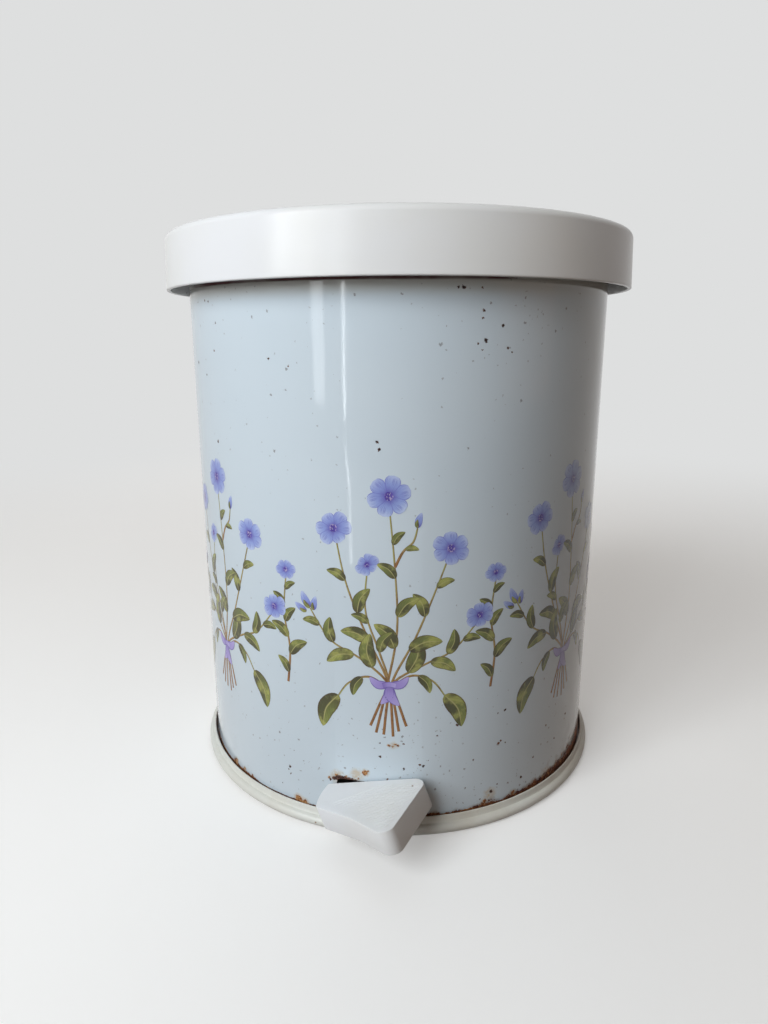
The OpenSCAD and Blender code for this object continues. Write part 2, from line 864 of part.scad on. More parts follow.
module axle_bracket_left() {
    color("silver")
        axle_bracket(-1);
}

module axle_bracket_right() {
    color("silver")
        axle_bracket(1);
}

module axle_screws() {
    color("gainsboro")
        for (s = [-1, 1], d = [-1, 1])
            translate([s * (bracket_x + bracket_foot_w * 0.62),
                axle_y + d * bracket_half_l * 0.58, floor_t + bracket_t])
                pan_screw(screw_head_r - 0.4, screw_head_h, screw_r, bracket_t + 1.8);
}

// Rubber stop that the lever meets when the lid is fully open
module pedal_buffer() {
    meet = axle_z + (stop_y - stop_r - axle_y) * sin(pedal_angle)
        + lever_rise * cos(pedal_angle) - clear;
    foot = floor_t + 1;
    color("darkslategray")
        union() {
            translate([0, stop_y, foot])
                cylinder(r1 = stop_r, r2 = stop_r - 1, h = meet - foot);
            translate([0, stop_y, 1.2])
                cylinder(r = stop_stem_r, h = foot);
        }
}

// ---------- Bucket ----------

module inner_bucket() {
    bottom_in = bucket_low_r - bucket_wall;
    color("lightgray")
        difference() {
            union() {
                rotate_extrude($fn = 180)
                    polygon(concat(
                        [[0, bucket_z], [bucket_low_r - 3, bucket_z]],
                        arc_pts([bucket_low_r - 3, bucket_z + 3], 3, -85, -5, 6),
                        [[bucket_r, rim_z - rim_t], [rim_r, rim_z - rim_t],
                            [rim_r, rim_z - 0.5], [rim_r - 0.5, rim_z],
                            [bucket_r - bucket_wall + 0.5, rim_z],
                            [bucket_r - bucket_wall, rim_z - 0.5]],
                        arc_pts([bottom_in - 2, bucket_z + bucket_wall + 2], 2, -5, -85, 6),
                        [[0, bucket_z + bucket_wall]]));
                for (s = [-1, 1])
                    rod_x(s > 0 ? bucket_r - 2 : -lug_x, s > 0 ? lug_x : -bucket_r + 2,
                        0, bail_z, lug_r);
            }
            translate([0, 0, bail_z - lug_r - 2])
                cylinder(r = bucket_r - bucket_wall - 0.6, h = 2 * lug_r + 4, $fn = 180);
            for (s = [-1, 1])
                rod_x(s > 0 ? bail_end_x - 0.6 : -lug_x - cut, s > 0 ? lug_x + cut : -bail_end_x + 0.6,
                    0, bail_z, bail_pin_r + 2 * run);
        }
}

// Places children of the bail, drawn lying flat around the pivot axis, as it hangs
module bail_place() {
    translate([0, 0, bail_z])
        rotate([bail_drop, 0, 0])
            children();
}

module bucket_handle() {
    color("silver")
        bail_place()
            union() {
                rotate([0, 0, 180])
                    rotate_extrude(angle = 180, $fn = 180)
                        translate([bail_r, 0])
                            circle(r = bail_wire_r, $fn = 32);
                rod_x(-bail_r - bail_wire_r, -bail_end_x, 0, 0, bail_pin_r);
                rod_x(bail_end_x, bail_r + bail_wire_r, 0, 0, bail_pin_r);
            }
}

module handle_grip() {
    color("whitesmoke")
        bail_place()
            rotate([0, 0, 270 - grip_half])
                rotate_extrude(angle = 2 * grip_half, $fn = 180)
                    translate([bail_r, 0])
                        difference() {
                            circle(r = grip_r, $fn = 48);
                            circle(r = bail_wire_r + touch, $fn = 32);
                        }
}

base();
body_shell();
base_screws();
lid();
lid_hinge_plate();
lid_plate_screws();
hinge_bracket();
bracket_rivets();
hinge_pin();
pin_clips();
push_rod();
rod_clips();
rod_guide_lower();
rod_guide_upper();
guide_rivets();
pedal_lever();
lever_bush();
pedal_pad();
pad_screw();
pedal_axle();
axle_bracket_left();
axle_bracket_right();
axle_screws();
axle_clips();
pedal_buffer();
inner_bucket();
bucket_handle();
handle_grip();
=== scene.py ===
import math

import bpy
from mathutils import Matrix, Vector


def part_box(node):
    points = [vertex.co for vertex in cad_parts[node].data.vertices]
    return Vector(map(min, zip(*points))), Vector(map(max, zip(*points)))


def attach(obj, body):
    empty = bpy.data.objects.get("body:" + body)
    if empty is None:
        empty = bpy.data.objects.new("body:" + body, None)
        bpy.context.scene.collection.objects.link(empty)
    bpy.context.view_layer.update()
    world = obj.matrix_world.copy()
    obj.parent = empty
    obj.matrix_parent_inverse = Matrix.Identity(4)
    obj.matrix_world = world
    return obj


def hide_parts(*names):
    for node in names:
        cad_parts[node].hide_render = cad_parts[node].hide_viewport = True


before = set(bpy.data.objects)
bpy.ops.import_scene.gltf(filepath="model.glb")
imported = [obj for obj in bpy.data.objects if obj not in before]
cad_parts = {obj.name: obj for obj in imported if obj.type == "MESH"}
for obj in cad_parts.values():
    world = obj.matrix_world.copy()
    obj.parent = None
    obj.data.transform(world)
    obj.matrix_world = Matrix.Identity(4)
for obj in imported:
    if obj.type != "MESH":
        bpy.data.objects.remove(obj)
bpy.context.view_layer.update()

# ---------- Sizes, in metres, from the frame's own boxes ----------

MM = 0.001
STEPS = 256                       # sides of a turned form
WELD = 1e-7
SMOOTH = math.radians(32)

body_low, body_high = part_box("body_shell")
lid_low, lid_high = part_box("lid")
pin_low, pin_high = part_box("hinge_pin")

SHEET = 0.6 * MM                  # the body's steel
BEAD_R = 1.6 * MM                 # the roll along its top edge
FLANGE = 14 * MM                  # the flange that its foot stands on
BODY_R = body_high.x - BEAD_R + SHEET / 2
BODY_TOP = body_high.z
BODY_FOOT = body_low.z
RING_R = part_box("base")[1].x
RING_IN = BODY_R + 1.2 * MM
RING_TOP = 10 * MM
FLOOR_TOP = 3 * MM                # the base's floor
LID_R = lid_high.x
SKIRT_Z = lid_low.z
LID_EDGE = SKIRT_Z + 30 * MM
HINGE_Y = (pin_low.y + pin_high.y) / 2
HINGE_Z = (pin_low.z + pin_high.z) / 2


# ---------- Small helpers ----------

def srgb(red, green, blue):
    """A colour as a screen shows it, 0 to 255, in the renderer's linear values."""
    def linear(c):
        c = c / 255
        return c / 12.92 if c <= 0.04045 else ((c + 0.055) / 1.055) ** 2.4
    return (linear(red), linear(green), linear(blue), 1)


def round_body(angle, height, radius=BODY_R):
    """The point at an angle from the front, counted towards the right, and at a height."""
    turn = math.radians(angle)
    return Vector((radius * math.sin(turn), -radius * math.cos(turn), height))


def arc(centre, radius, start, end, steps):
    """Points of an arc in a profile, from the angle start to the angle end."""
    points = []
    for i in range(steps + 1):
        turn = math.radians(start + (end - start) * i / steps)
        points.append((centre[0] + radius * math.cos(turn), centre[1] + radius * math.sin(turn)))
    return points


# ---------- Materials ----------

class Nodes:
    """A node tree while it is made."""

    def __init__(self, tree):
        self.tree = tree

    def node(self, kind, **settings):
        made = self.tree.nodes.new(kind)
        for key, value in settings.items():
            setattr(made, key, value)
        return made

    def feed(self, node, **values):
        """Sets a node's inputs: a socket is linked, anything else is its value."""
        for key, value in values.items():
            numbered = key[0] == "i" and key[1:].isdigit()
            socket = node.inputs[int(key[1:]) if numbered else key]
            if isinstance(value, bpy.types.NodeSocket):
                self.tree.links.new(value, socket)
            else:
                socket.default_value = value
        return node

    def math(self, operation, *values):
        made = self.node("ShaderNodeMath", operation=operation)
        self.feed(made, **{f"i{k}": value for k, value in enumerate(values)})
        return made.outputs[0]

    def times(self, a, b):
        return self.math("MULTIPLY", a, b)

    def plus(self, a, b):
        return self.math("ADD", a, b)

    def minus(self, a, b):
        return self.math("SUBTRACT", a, b)

    def most(self, a, b):
        return self.math("MAXIMUM", a, b)

    def seen(self):
        """1 for what is looked at, straight or by a mirror or glass, and 0 for light that bounces."""
        path = self.node("ShaderNodeLightPath").outputs
        looks = self.most(path["Is Camera Ray"], path["Is Glossy Ray"])
        return self.most(looks, path["Is Transmission Ray"])


class Finish(Nodes):
    """One material while it is made: its nodes, its shader and where its patterns are read."""

    def __init__(self, name, colour, **sockets):
        self.material = bpy.data.materials.new(name)
        self.material.use_nodes = True
        super().__init__(self.material.node_tree)
        self.shader = self.tree.nodes["Principled BSDF"]
        self.shader.inputs["Base Color"].default_value = srgb(*colour)
        for socket, value in sockets.items():
            self.shader.inputs[socket.replace("_", " ")].default_value = value
        self.place = self.node("ShaderNodeTexCoord").outputs["Object"]

    def noise(self, scale, detail=3, roughness=0.55, place=None):
        """Cloudy noise from 0 to 1, with so many lumps in a metre."""
        made = self.node("ShaderNodeTexNoise")
        self.feed(made, Vector=place or self.place, Scale=scale, Detail=detail, Roughness=roughness)
        return made.outputs["Fac"]

    def stretched(self, x, y, z):
        """Object coordinates stretched by these factors, for a pattern that runs one way."""
        made = self.node("ShaderNodeMapping")
        self.feed(made, Vector=self.place, Scale=(x, y, z))
        return made.outputs["Vector"]

    def dots(self, scale, size, place=None):
        """Round dots in some of the cells of a grid: 1 in a dot, 0 outside."""
        cells = self.node("ShaderNodeTexVoronoi")
        self.feed(cells, Vector=place or self.place, Scale=scale)
        picked = self.node("ShaderNodeSeparateColor")
        self.feed(picked, i0=cells.outputs["Color"])
        near = self.math("LESS_THAN", cells.outputs["Distance"], self.times(picked.outputs[0], size))
        return near, picked.outputs[1]

    def step(self, value, low, high, from_value=0.0, to_value=1.0):
        """Maps low to from_value and high to to_value, smoothly, and stays there outside."""
        made = self.node("ShaderNodeMapRange", interpolation_type="SMOOTHSTEP")
        self.feed(made, i0=value, i1=low, i2=high, i3=from_value, i4=to_value)
        return made.outputs[0]

    def split(self, place=None):
        made = self.node("ShaderNodeSeparateXYZ")
        self.feed(made, i0=place or self.place)
        return made.outputs

    def radius(self):
        """How far a point is from the upright axis."""
        place = self.split()
        flat = self.node("ShaderNodeCombineXYZ")
        self.feed(flat, i0=place[0], i1=place[1])
        out = self.node("ShaderNodeVectorMath", operation="LENGTH")
        self.feed(out, i0=flat.outputs[0])
        return out.outputs["Value"]

    def round_curve(self, points, full):
        """A value that changes round the body, from (angle from the front, value) points."""
        place = self.split()
        turn = self.math("ARCTAN2", place[0], self.times(place[1], -1))
        made = self.node("ShaderNodeFloatCurve")
        share = self.math("MULTIPLY_ADD", turn, 0.5 / math.pi, 0.5)
        self.feed(made, i0=1.0, i1=share)
        curve = made.mapping.curves[0]
        for number, (angle, value) in enumerate(points):
            spot = ((angle + 180) / 360, value / full)
            if number in (0, len(points) - 1):
                curve.points[0 if number == 0 else -1].location = spot
            else:
                curve.points.new(*spot)
        for point in curve.points:
            point.handle_type = "VECTOR"
        made.mapping.update()
        return self.times(made.outputs[0], full)

    def blend(self, share, a, b):
        made = self.node("ShaderNodeMix", data_type="RGBA")
        self.feed(made, i0=share, i6=a, i7=b)
        return made.outputs[2]

    def layers(self, base, *coats):
        """Lays coats over a colour in turn, each its share and its own colour."""
        for share, over in coats:
            base = self.blend(share, base, over)
        return base

    def colour(self, socket):
        self.tree.links.new(socket, self.shader.inputs["Base Color"])

    def gloss(self, socket):
        self.tree.links.new(socket, self.shader.inputs["Roughness"])

    def bump(self, height, strength, distance):
        made = self.node("ShaderNodeBump")
        self.feed(made, Height=height, Strength=strength, Distance=distance)
        self.tree.links.new(made.outputs[0], self.shader.inputs["Normal"])


def nearest_spot(finish, spots, place):
    """How near a point is to the nearest of some spots: 0 at a spot's centre, 1 at its edge."""
    near = None
    for angle, height, size in spots:
        away = finish.node("ShaderNodeVectorMath", operation="DISTANCE")
        finish.feed(away, i0=place, i1=round_body(angle, height * MM))
        share = finish.math("DIVIDE", away.outputs["Value"], size * MM)
        near = share if near is None else finish.math("MINIMUM", near, share)
    return near


def wander(place, finish, scale, reach):
    """A place moved about by noise, so that what is drawn there gets a ragged edge."""
    drift = finish.node("ShaderNodeTexNoise")
    finish.feed(drift, Vector=place, Scale=scale, Detail=3, Roughness=0.6)
    moved = finish.node("ShaderNodeVectorMath", operation="MULTIPLY_ADD")
    finish.feed(moved, i0=drift.outputs["Color"], i1=(2 * reach,) * 3, i2=place)
    back = finish.node("ShaderNodeVectorMath", operation="SUBTRACT")
    finish.feed(back, i0=moved.outputs[0], i1=(reach,) * 3)
    return back.outputs[0]


RUST_DARK = srgb(70, 34, 27)
RUST_BROWN = srgb(120, 72, 44)
RUST_ORANGE = srgb(192, 146, 96)


def rust_colour(finish, fresh=0.0):
    """Rust from dark maroon through brown to orange, in lumps and specks. Fresh rust is oranger."""
    lumps = finish.noise(260, 4, 0.65)
    fine = finish.noise(1100, 4, 0.7)
    mixed = finish.plus(finish.times(lumps, 0.6), finish.times(fine, 0.4))
    mixed = finish.plus(mixed, fresh)
    brown = finish.blend(finish.step(mixed, 0.42, 0.53), RUST_DARK, RUST_BROWN)
    return finish.blend(finish.step(mixed, 0.53, 0.62), brown, RUST_ORANGE)


def enamel_gloss(finish, raised=None):
    """The stove enamel's slow ripple, which the print under the same gloss shares."""
    ripple = finish.times(finish.noise(14, 2), 0.55)
    grain = finish.times(finish.noise(700, 2), 0.012)
    height = finish.plus(ripple, grain)
    if raised is not None:
        height = finish.plus(height, raised)
    finish.bump(height, 0.5, 0.0009)


# Chips in the body's paint: angle from the front, height and radius in mm
CHIPS = [
    (17.3, 284.6, 0.8), (18.6, 284.5, 1.0), (22.7, 284.6, 0.6), (23.2, 274.6, 0.7), (23.1, 271, 0.7),
    (27.9, 267.8, 0.9), (23.9, 261.0, 1.1), (22.0, 259.8, 0.6), (23.2, 256.8, 0.6), (29.4, 257.3, 0.8),
    (30.5, 255.4, 0.5), (-49.4, 281.6, 0.8), (-47.4, 281, 0.7), (-54.6, 281, 0.6), (-57.8, 249.4, 1.1),
    (-51.2, 243.4, 0.7), (-25.6, 252.8, 0.8), (-20.2, 249.4, 0.6), (-45.8, 256, 0.7), (-44.2, 270, 0.6),
    (0.2, 214.2, 0.8), (0.7, 210.6, 0.9), (-46.6, 208, 0.9), (-24.0, 29.2, 0.9), (-24.4, 27.2, 0.6),
    (-23.9, 25.2, 0.6), (-19.9, 35.5, 0.5), (-26.6, 16.7, 0.5), (0.5, 45.6, 0.8), (0.5, 53.9, 0.5),
    (6.3, 53.6, 0.6), (6.3, 38.6, 0.7), (2.2, 32.4, 0.7), (11.0, 40.0, 0.9), (10.2, 40.7, 0.7),
    (12.4, 43, 0.4), (19.4, 62.6, 0.6), (14.6, 57.4, 0.5), (31.0, 46.0, 1.1), (31.7, 47.4, 0.7),
    (33.2, 45.5, 0.6), (32.6, 65.6, 0.9), (30.5, 65.0, 0.5), (48.1, 44.9, 0.8), (52.6, 32.2, 0.6),
    (43.2, 28.6, 0.8), (58.7, 42.4, 0.9), (58.2, 39.6, 0.6), (23.9, 39.8, 0.6), (31.1, 20.7, 0.5),
    (34.6, 18.9, 0.5), (39.0, 19.2, 0.9), (21.9, 23.3, 0.6), (29.4, 17.2, 1.1), (26.2, 14.2, 0.6),
    (-11.2, 29.4, 1.4), (-10.3, 30.0, 1.7), (-9.4, 30.2, 1.8), (-8.5, 30.2, 1.7), (-7.6, 30.0, 1.5),
    (-6.6, 29.9, 1.2), (-5.6, 29.8, 0.9), (-12.2, 28.2, 0.8)]
# Rust that has come through, and the brown stains about it
RUST_SPOTS = [
    (2.6, 52.6, 0.9), (3.6, 52.0, 0.7), (4.2, 53.4, 0.8), (4.8, 52.5, 0.9), (-3.3, 35.3, 1.8),
    (-2.6, 36.2, 0.9), (-10.6, 31.6, 1.0), (-8.0, 31.8, 0.7), (-12.6, 29.4, 0.9), (-5.0, 31.2, 0.7),
    (-5.8, 30.6, 0.6), (-21.6, 10.4, 2.6), (-19.8, 9.6, 2.2), (-46.9, 12.0, 1.7), (-42.4, 11.2, 1.3),
    (-38.6, 10.2, 1.2), (27.6, 12.4, 1.5), (36.4, 11.4, 1.6)]
RUST_STAINS = [
    (-10.4, 30.5, 6.0), (-5.4, 33.6, 5.5), (3.8, 52.8, 3.0), (29.0, 16.0, 5.5), (-21, 10, 4.5),
    (49, 12, 6.5), (150, 14, 14.0), (-120, 15, 12.0), (100, 14, 10.0)]
# How high rust climbs above the base ring, in mm, round the body
RUST_CLIMB = [
    (-180, 4.0), (-165, 2.0), (-150, 5.0), (-140, 6.0), (-120, 2.0), (-105, 1.5), (-90, 3.5), (-75, 2.6),
    (-62, 1.8), (-50, 1.1), (-47.5, 3.6), (-45, 1.4), (-42.5, 2.6), (-40, 1.0), (-38.5, 2.0), (-35, 0.8),
    (-24, 0.7), (-21.5, 1.6), (-19, 0.9), (-6, 0.9), (9, 1.0), (14, 2.4), (17, 1.4), (20, 2.3), (23, 1.4),
    (25.5, 3.6), (29, 4.4), (32, 2.0), (36, 3.6), (39, 2.4), (44, 4.0), (50, 7.0), (55, 6.6), (60, 8.6),
    (65, 11), (70, 15), (76, 16), (84, 9.0), (94, 3.0), (105, 2.0), (118, 8.0), (124, 9.0), (130, 2.0),
    (150, 3.0), (160, 6.0), (170, 3.0), (180, 4.0)]
# How far the dark line under the lid's skirt reaches down from it, in mm; the line is partly painted shade
# of the gap and partly grime
LID_LINE = [
    (-180, 0.5), (-120, 0.7), (-80, 0.0), (-60, 0.15), (-35, 0.3), (-15, 0.55), (0, 0.7), (10, 0.75),
    (18, 0.5), (26, 0.25), (34, 0.1), (60, 0.0), (110, 0.2), (150, 0.7), (180, 0.5)]


def foot_rust(paint, fine, height):
    """Rust that climbs from the lower edge, whole at the ring and then in lumps, and its brown haze."""
    climb = paint.round_curve(RUST_CLIMB, 20)
    above = paint.times(paint.minus(height, RING_TOP - 1.1 * MM), 1 / MM)
    lumps = paint.step(paint.noise(150, 3), 0.3, 0.7, 0.5, 1.3)
    share = paint.math("DIVIDE", above, paint.times(climb, lumps))
    ragged = paint.plus(share, paint.times(paint.minus(fine, 0.5), 3.0))
    whole = paint.step(ragged, 0.55, 0.75, 1.0, 0.0)
    rust = paint.times(whole, paint.step(share, 1.2, 1.5, 1.0, 0.0))
    fade = paint.step(share, 0.2, 1.6, 0.75, 0.0)
    return rust, paint.times(fade, paint.step(climb, 1.2, 3.0, 0.2, 1.0))


def skirt_line_and_lid_shade(paint, height):
    """The dark line under the lid's skirt on the outside of the wall, partly painted shade of the gap and
    partly grime, and the painted shade under it.
    """
    outside = paint.step(paint.radius(), BODY_R - 0.45 * MM, BODY_R - 0.2 * MM)
    drop = paint.times(paint.minus(SKIRT_Z + 0.6 * MM, height), 1 / MM)
    reach = paint.round_curve(LID_LINE, 4)
    # The dark line: partly painted shade of the gap under the skirt, partly a grime line.
    line = paint.step(paint.minus(drop, reach), 0.0, 0.9, 1.0, 0.0)
    line = paint.times(line, paint.step(height, SKIRT_Z + 1.3 * MM, SKIRT_Z + 3 * MM, 1.0, 0.0))
    line = paint.times(line, paint.step(paint.noise(40, 3), 0.34, 0.60, 0.75, 1.0))
    line = paint.times(line, paint.step(reach, 0.02, 0.25))
    # Painted shade under the lid: a warm tint that fades out over 10 mm below the skirt.
    below = paint.step(height, SKIRT_Z + 2 * MM, SKIRT_Z + 5 * MM, 1.0, 0.0)
    return paint.times(line, outside), paint.times(paint.step(drop, 0.0, 10.0, 0.60, 0.0), below)


def grey_specks(paint, height, ragged):
    """Fine grey specks in two sizes, thicker towards the foot and under the lid."""
    low = paint.step(height, 25 * MM, 110 * MM, 1.0, 0.22)
    high = paint.step(height, 225 * MM, 285 * MM, 0.0, 0.55)
    crowd = paint.times(paint.most(low, high), paint.step(paint.noise(26, 2), 0.40, 0.60, 0.25, 1.0))
    specks = 0.0
    for scale, size, often, strength in ((230, 0.18, 0.95, 0.66), (420, 0.23, 0.75, 0.48)):
        speck, chance = paint.dots(scale, size, ragged)
        speck = paint.times(speck, paint.math("LESS_THAN", chance, paint.times(crowd, often)))
        specks = paint.most(specks, paint.times(speck, strength))
    return specks


def enamel():
    """Pale blue stoving enamel on the steel body, chipped and rusted at its edges, with painted shade
    under the lid.
    """
    paint = Finish("pale_blue_enamel", (201, 214, 222), Roughness=0.09, IOR=1.46)
    ragged = wander(wander(paint.place, paint, 420, 1.0 * MM), paint, 1500, 0.8 * MM)
    fine = paint.plus(paint.times(paint.noise(520, 4, 0.65), 0.6),
                      paint.times(paint.noise(1600, 3, 0.6), 0.4))
    height = paint.split()[2]
    chip = paint.step(nearest_spot(paint, CHIPS, ragged), 0.75, 1.05, 1.0, 0.0)
    spots = nearest_spot(paint, RUST_SPOTS, ragged)
    foot, haze = foot_rust(paint, fine, height)
    rusted = paint.most(paint.step(spots, 0.70, 0.95, 1.0, 0.0), foot)
    line, painted_lid_shade = skirt_line_and_lid_shade(paint, height)
    specks = grey_specks(paint, height, ragged)
    stains = paint.step(nearest_spot(paint, RUST_STAINS, ragged), 0.2, 1.0, 0.75, 0.0)
    stained = paint.most(paint.times(stains, paint.step(fine, 0.3, 0.6)),
                         paint.step(spots, 0.9, 1.7, 0.4, 0.0))
    bare = paint.blend(paint.step(fine, 0.42, 0.62), srgb(48, 34, 34), srgb(116, 80, 66))
    rust = rust_colour(paint, paint.step(spots, 0.9, 1.3, 0.07, 0.005))
    base = paint.blend(paint.step(paint.noise(9, 3), 0.3, 0.7), srgb(199, 212, 221), srgb(203, 215, 223))
    # The first coat is painted shade under the lid; the last, the dark skirt line, is partly painted shade
    # and partly grime.
    paint.colour(paint.layers(
        base, (painted_lid_shade, srgb(206, 198, 178)), (stained, srgb(188, 164, 124)), (haze, srgb(126, 94, 64)),
        (specks, srgb(104, 100, 100)), (rusted, rust), (chip, bare), (line, srgb(76, 38, 38))))
    rough = paint.step(paint.noise(60, 4), 0.3, 0.75, 0.06, 0.11)
    dull = paint.most(paint.most(rusted, specks), paint.most(chip, line))
    paint.gloss(paint.most(rough, paint.times(dull, 0.85)))
    lumps = paint.times(rusted, paint.plus(fine, 0.35))
    enamel_gloss(paint, paint.minus(paint.times(lumps, 0.55), paint.times(chip, 0.15)))
    return paint.material


def ink(name, dark, light, pale):
    """Printed colour under the gloss: dark at a shape's foot, lighter on, pale at its end."""
    finish = Finish(name, light, Roughness=0.09, IOR=1.46)
    on_shape = finish.split(finish.node("ShaderNodeUVMap").outputs[0])
    aside = finish.math("ABSOLUTE", finish.minus(on_shape[0], 0.5))
    first = finish.blend(finish.step(on_shape[1], 0.05, 0.5), srgb(*dark), srgb(*light))
    base = finish.blend(finish.step(on_shape[1], 0.45, 1.0), first, srgb(*pale))
    enamel_gloss(finish)
    return finish, on_shape, aside, base


def petal_ink():
    """A blue petal with fine veins along it, a darker edge and slow changes of tone."""
    finish, on_shape, aside, base = ink("blue_petal_ink", (92, 84, 172), (142, 160, 216), (188, 203, 234))
    fan = finish.node("ShaderNodeMapping")
    finish.feed(fan, Vector=finish.node("ShaderNodeUVMap").outputs[0], Scale=(11, 1.4, 1))
    veins = finish.step(finish.noise(1.6, 3, 0.6, fan.outputs["Vector"]), 0.50, 0.66)
    finish.colour(finish.layers(
        base, (finish.times(veins, 0.5), srgb(96, 96, 182)),
        (finish.step(aside, 0.42, 0.5, 0.0, 0.7), srgb(104, 100, 190)),
        (finish.step(finish.noise(70, 2), 0.35, 0.65, 0.0, 0.2), srgb(100, 100, 190))))
    return finish.material


def leaf_ink():
    """A green leaf with one dark half, light patches, side veins, a pale midrib and a brown edge."""
    finish, on_shape, aside, base = ink("green_leaf_ink", (84, 78, 44), (104, 112, 56), (138, 144, 72))
    rows = finish.math("FRACT", finish.plus(finish.times(on_shape[1], 8), finish.times(aside, -5)))
    veins = finish.math("ABSOLUTE", finish.minus(rows, 0.5))
    finish.colour(finish.layers(
        base, (finish.step(on_shape[0], 0.44, 0.60, 0.0, 0.75), srgb(62, 58, 38)),
        (finish.step(finish.noise(120, 3), 0.46, 0.66, 0.0, 0.7), srgb(174, 176, 92)),
        (finish.step(veins, 0.38, 0.48, 0.0, 0.4), srgb(78, 76, 44)),
        (finish.step(aside, 0.015, 0.05, 0.9, 0.0), srgb(170, 164, 104)),
        (finish.step(aside, 0.40, 0.48, 0.0, 0.7), srgb(80, 58, 42))))
    return finish.material


def stem_ink():
    """A stem, brown at its foot and green above, dark along one side, with darker knots."""
    finish, on_shape, aside, base = ink("brown_stem_ink", (150, 104, 60), (160, 138, 82), (160, 160, 92))
    finish.colour(finish.layers(
        base, (finish.step(on_shape[0], 0.45, 0.9, 0.0, 0.75), srgb(112, 78, 46)),
        (finish.step(finish.noise(300, 3), 0.5, 0.68, 0.0, 0.6), srgb(104, 66, 40))))
    return finish.material


def centre_ink():
    """A blossom's violet centre with pale flecks."""
    finish, on_shape, aside, base = ink("violet_centre_ink", (84, 62, 158), (70, 52, 146), (100, 84, 178))
    flecks = finish.step(finish.noise(900, 2), 0.52, 0.62, 0.0, 0.7)
    finish.colour(finish.blend(flecks, base, srgb(196, 184, 210)))
    return finish.material


def tie_ink():
    """The posy's lilac ribbon with a darker edge."""
    finish, on_shape, aside, base = ink("lilac_tie_ink", (132, 112, 186), (158, 142, 208), (176, 164, 218))
    finish.colour(finish.blend(finish.step(aside, 0.36, 0.46, 0.0, 0.8), base, srgb(98, 82, 160)))
    return finish.material


def white_plastic(name, colour, aged, rough, specks):
    """Moulded plastic, a little yellowed in places, with a fine moulded grain and small scratches."""
    plastic = Finish(name, colour, Roughness=rough, IOR=1.5)
    slow = plastic.step(plastic.noise(11, 3), 0.35, 0.70)
    base = plastic.blend(slow, srgb(*colour), srgb(*aged))
    speck, chance = plastic.dots(150, 0.10)
    speck = plastic.times(speck, plastic.math("LESS_THAN", chance, specks))
    scratch = plastic.step(plastic.noise(90, 5, 0.7, plastic.stretched(1, 1, 26)), 0.60, 0.72)
    faint = plastic.times(scratch, 0.04)
    base = plastic.blend(faint, base, srgb(168, 158, 145))
    plastic.colour(plastic.blend(speck, base, srgb(136, 112, 92)))
    plastic.gloss(plastic.step(plastic.noise(24, 2), 0.2, 0.8, rough - 0.02, rough + 0.03))
    grain = plastic.plus(plastic.times(plastic.noise(16, 2), 0.8),
                         plastic.times(plastic.noise(900, 2), 0.006))
    plastic.bump(grain, 0.30, 0.0009)
    return plastic


def ring_plastic():
    """The base's ivory plastic: dust on its land and rust that ran from the body into its groove."""
    plastic = white_plastic("ivory_base_plastic", (215, 217, 211), (208, 204, 192), 0.30, 0.10)
    radius = plastic.radius()
    fresh = plastic.shader.inputs["Base Color"].links[0].from_socket
    near_body = plastic.step(radius, RING_IN - 0.2 * MM, RING_IN + 1.5 * MM, 1.0, 0.0)
    ragged = plastic.times(near_body, plastic.step(plastic.noise(130, 4, 0.7), 0.44, 0.62))
    groove = plastic.step(radius, RING_IN - 0.1 * MM, RING_IN + 0.25 * MM, 1.0, 0.0)
    outside = plastic.math("GREATER_THAN", radius, BODY_R - 1 * MM)
    stain = plastic.times(plastic.most(plastic.times(ragged, 0.5), plastic.times(groove, 0.92)), outside)
    dust = plastic.times(plastic.step(plastic.noise(48, 4, 0.65), 0.40, 0.76), 0.15)
    dusty = plastic.blend(dust, fresh, srgb(170, 158, 138))
    plastic.colour(plastic.blend(stain, dusty, rust_colour(plastic)))
    return plastic.material


def metal(name, colour, dull, rough, rust):
    """Plated or bare steel: cloudy, with fine scratches and, where it's old, freckles of rust."""
    steel = Finish(name, colour, Metallic=1.0, Roughness=rough)
    clouds = steel.step(steel.noise(170, 5, 0.6), 0.32, 0.72)
    base = steel.blend(clouds, srgb(*colour), srgb(*dull))
    freckle = steel.step(steel.noise(520, 5, 0.72), 0.64 - 0.16 * rust, 0.72 - 0.10 * rust)
    patch = steel.step(steel.noise(60, 3), 0.36, 0.66)
    rusted = steel.times(freckle, patch)
    rusted = steel.times(rusted, min(1.0, 0.35 + rust))
    steel.colour(steel.blend(rusted, base, rust_colour(steel)))
    steel.gloss(steel.most(steel.step(clouds, 0.0, 1.0, rough - 0.04, rough + 0.08),
                           steel.times(rusted, 0.9)))
    steel.tree.links.new(steel.minus(1.0, rusted), steel.shader.inputs["Metallic"])
    fine = steel.times(steel.noise(260, 4, 0.7, steel.stretched(1, 9, 1)), 0.35)
    steel.bump(steel.plus(fine, rusted), 0.25, 0.0002)
    return steel.material


def soft_rubber():
    """Black rubber, chalky with age."""
    rubber = Finish("black_rubber", (38, 38, 40), Roughness=0.75)
    bloom = rubber.step(rubber.noise(180, 4, 0.65), 0.4, 0.7)
    rubber.colour(rubber.blend(bloom, srgb(34, 34, 36), srgb(66, 64, 62)))
    rubber.bump(rubber.noise(1200, 3), 0.3, 0.0002)
    return rubber.material


def bucket_plastic():
    """The inner bucket's grey-white plastic, scuffed by what was thrown in."""
    plastic = white_plastic("grey_bucket_plastic", (206, 208, 206), (192, 190, 182), 0.42, 0.12)
    fresh = plastic.shader.inputs["Base Color"].links[0].from_socket
    scuffs = plastic.step(plastic.noise(34, 6, 0.75, plastic.stretched(3, 3, 0.6)), 0.55, 0.66)
    plastic.colour(plastic.blend(plastic.times(scuffs, 0.30), fresh, srgb(150, 146, 138)))
    return plastic.material


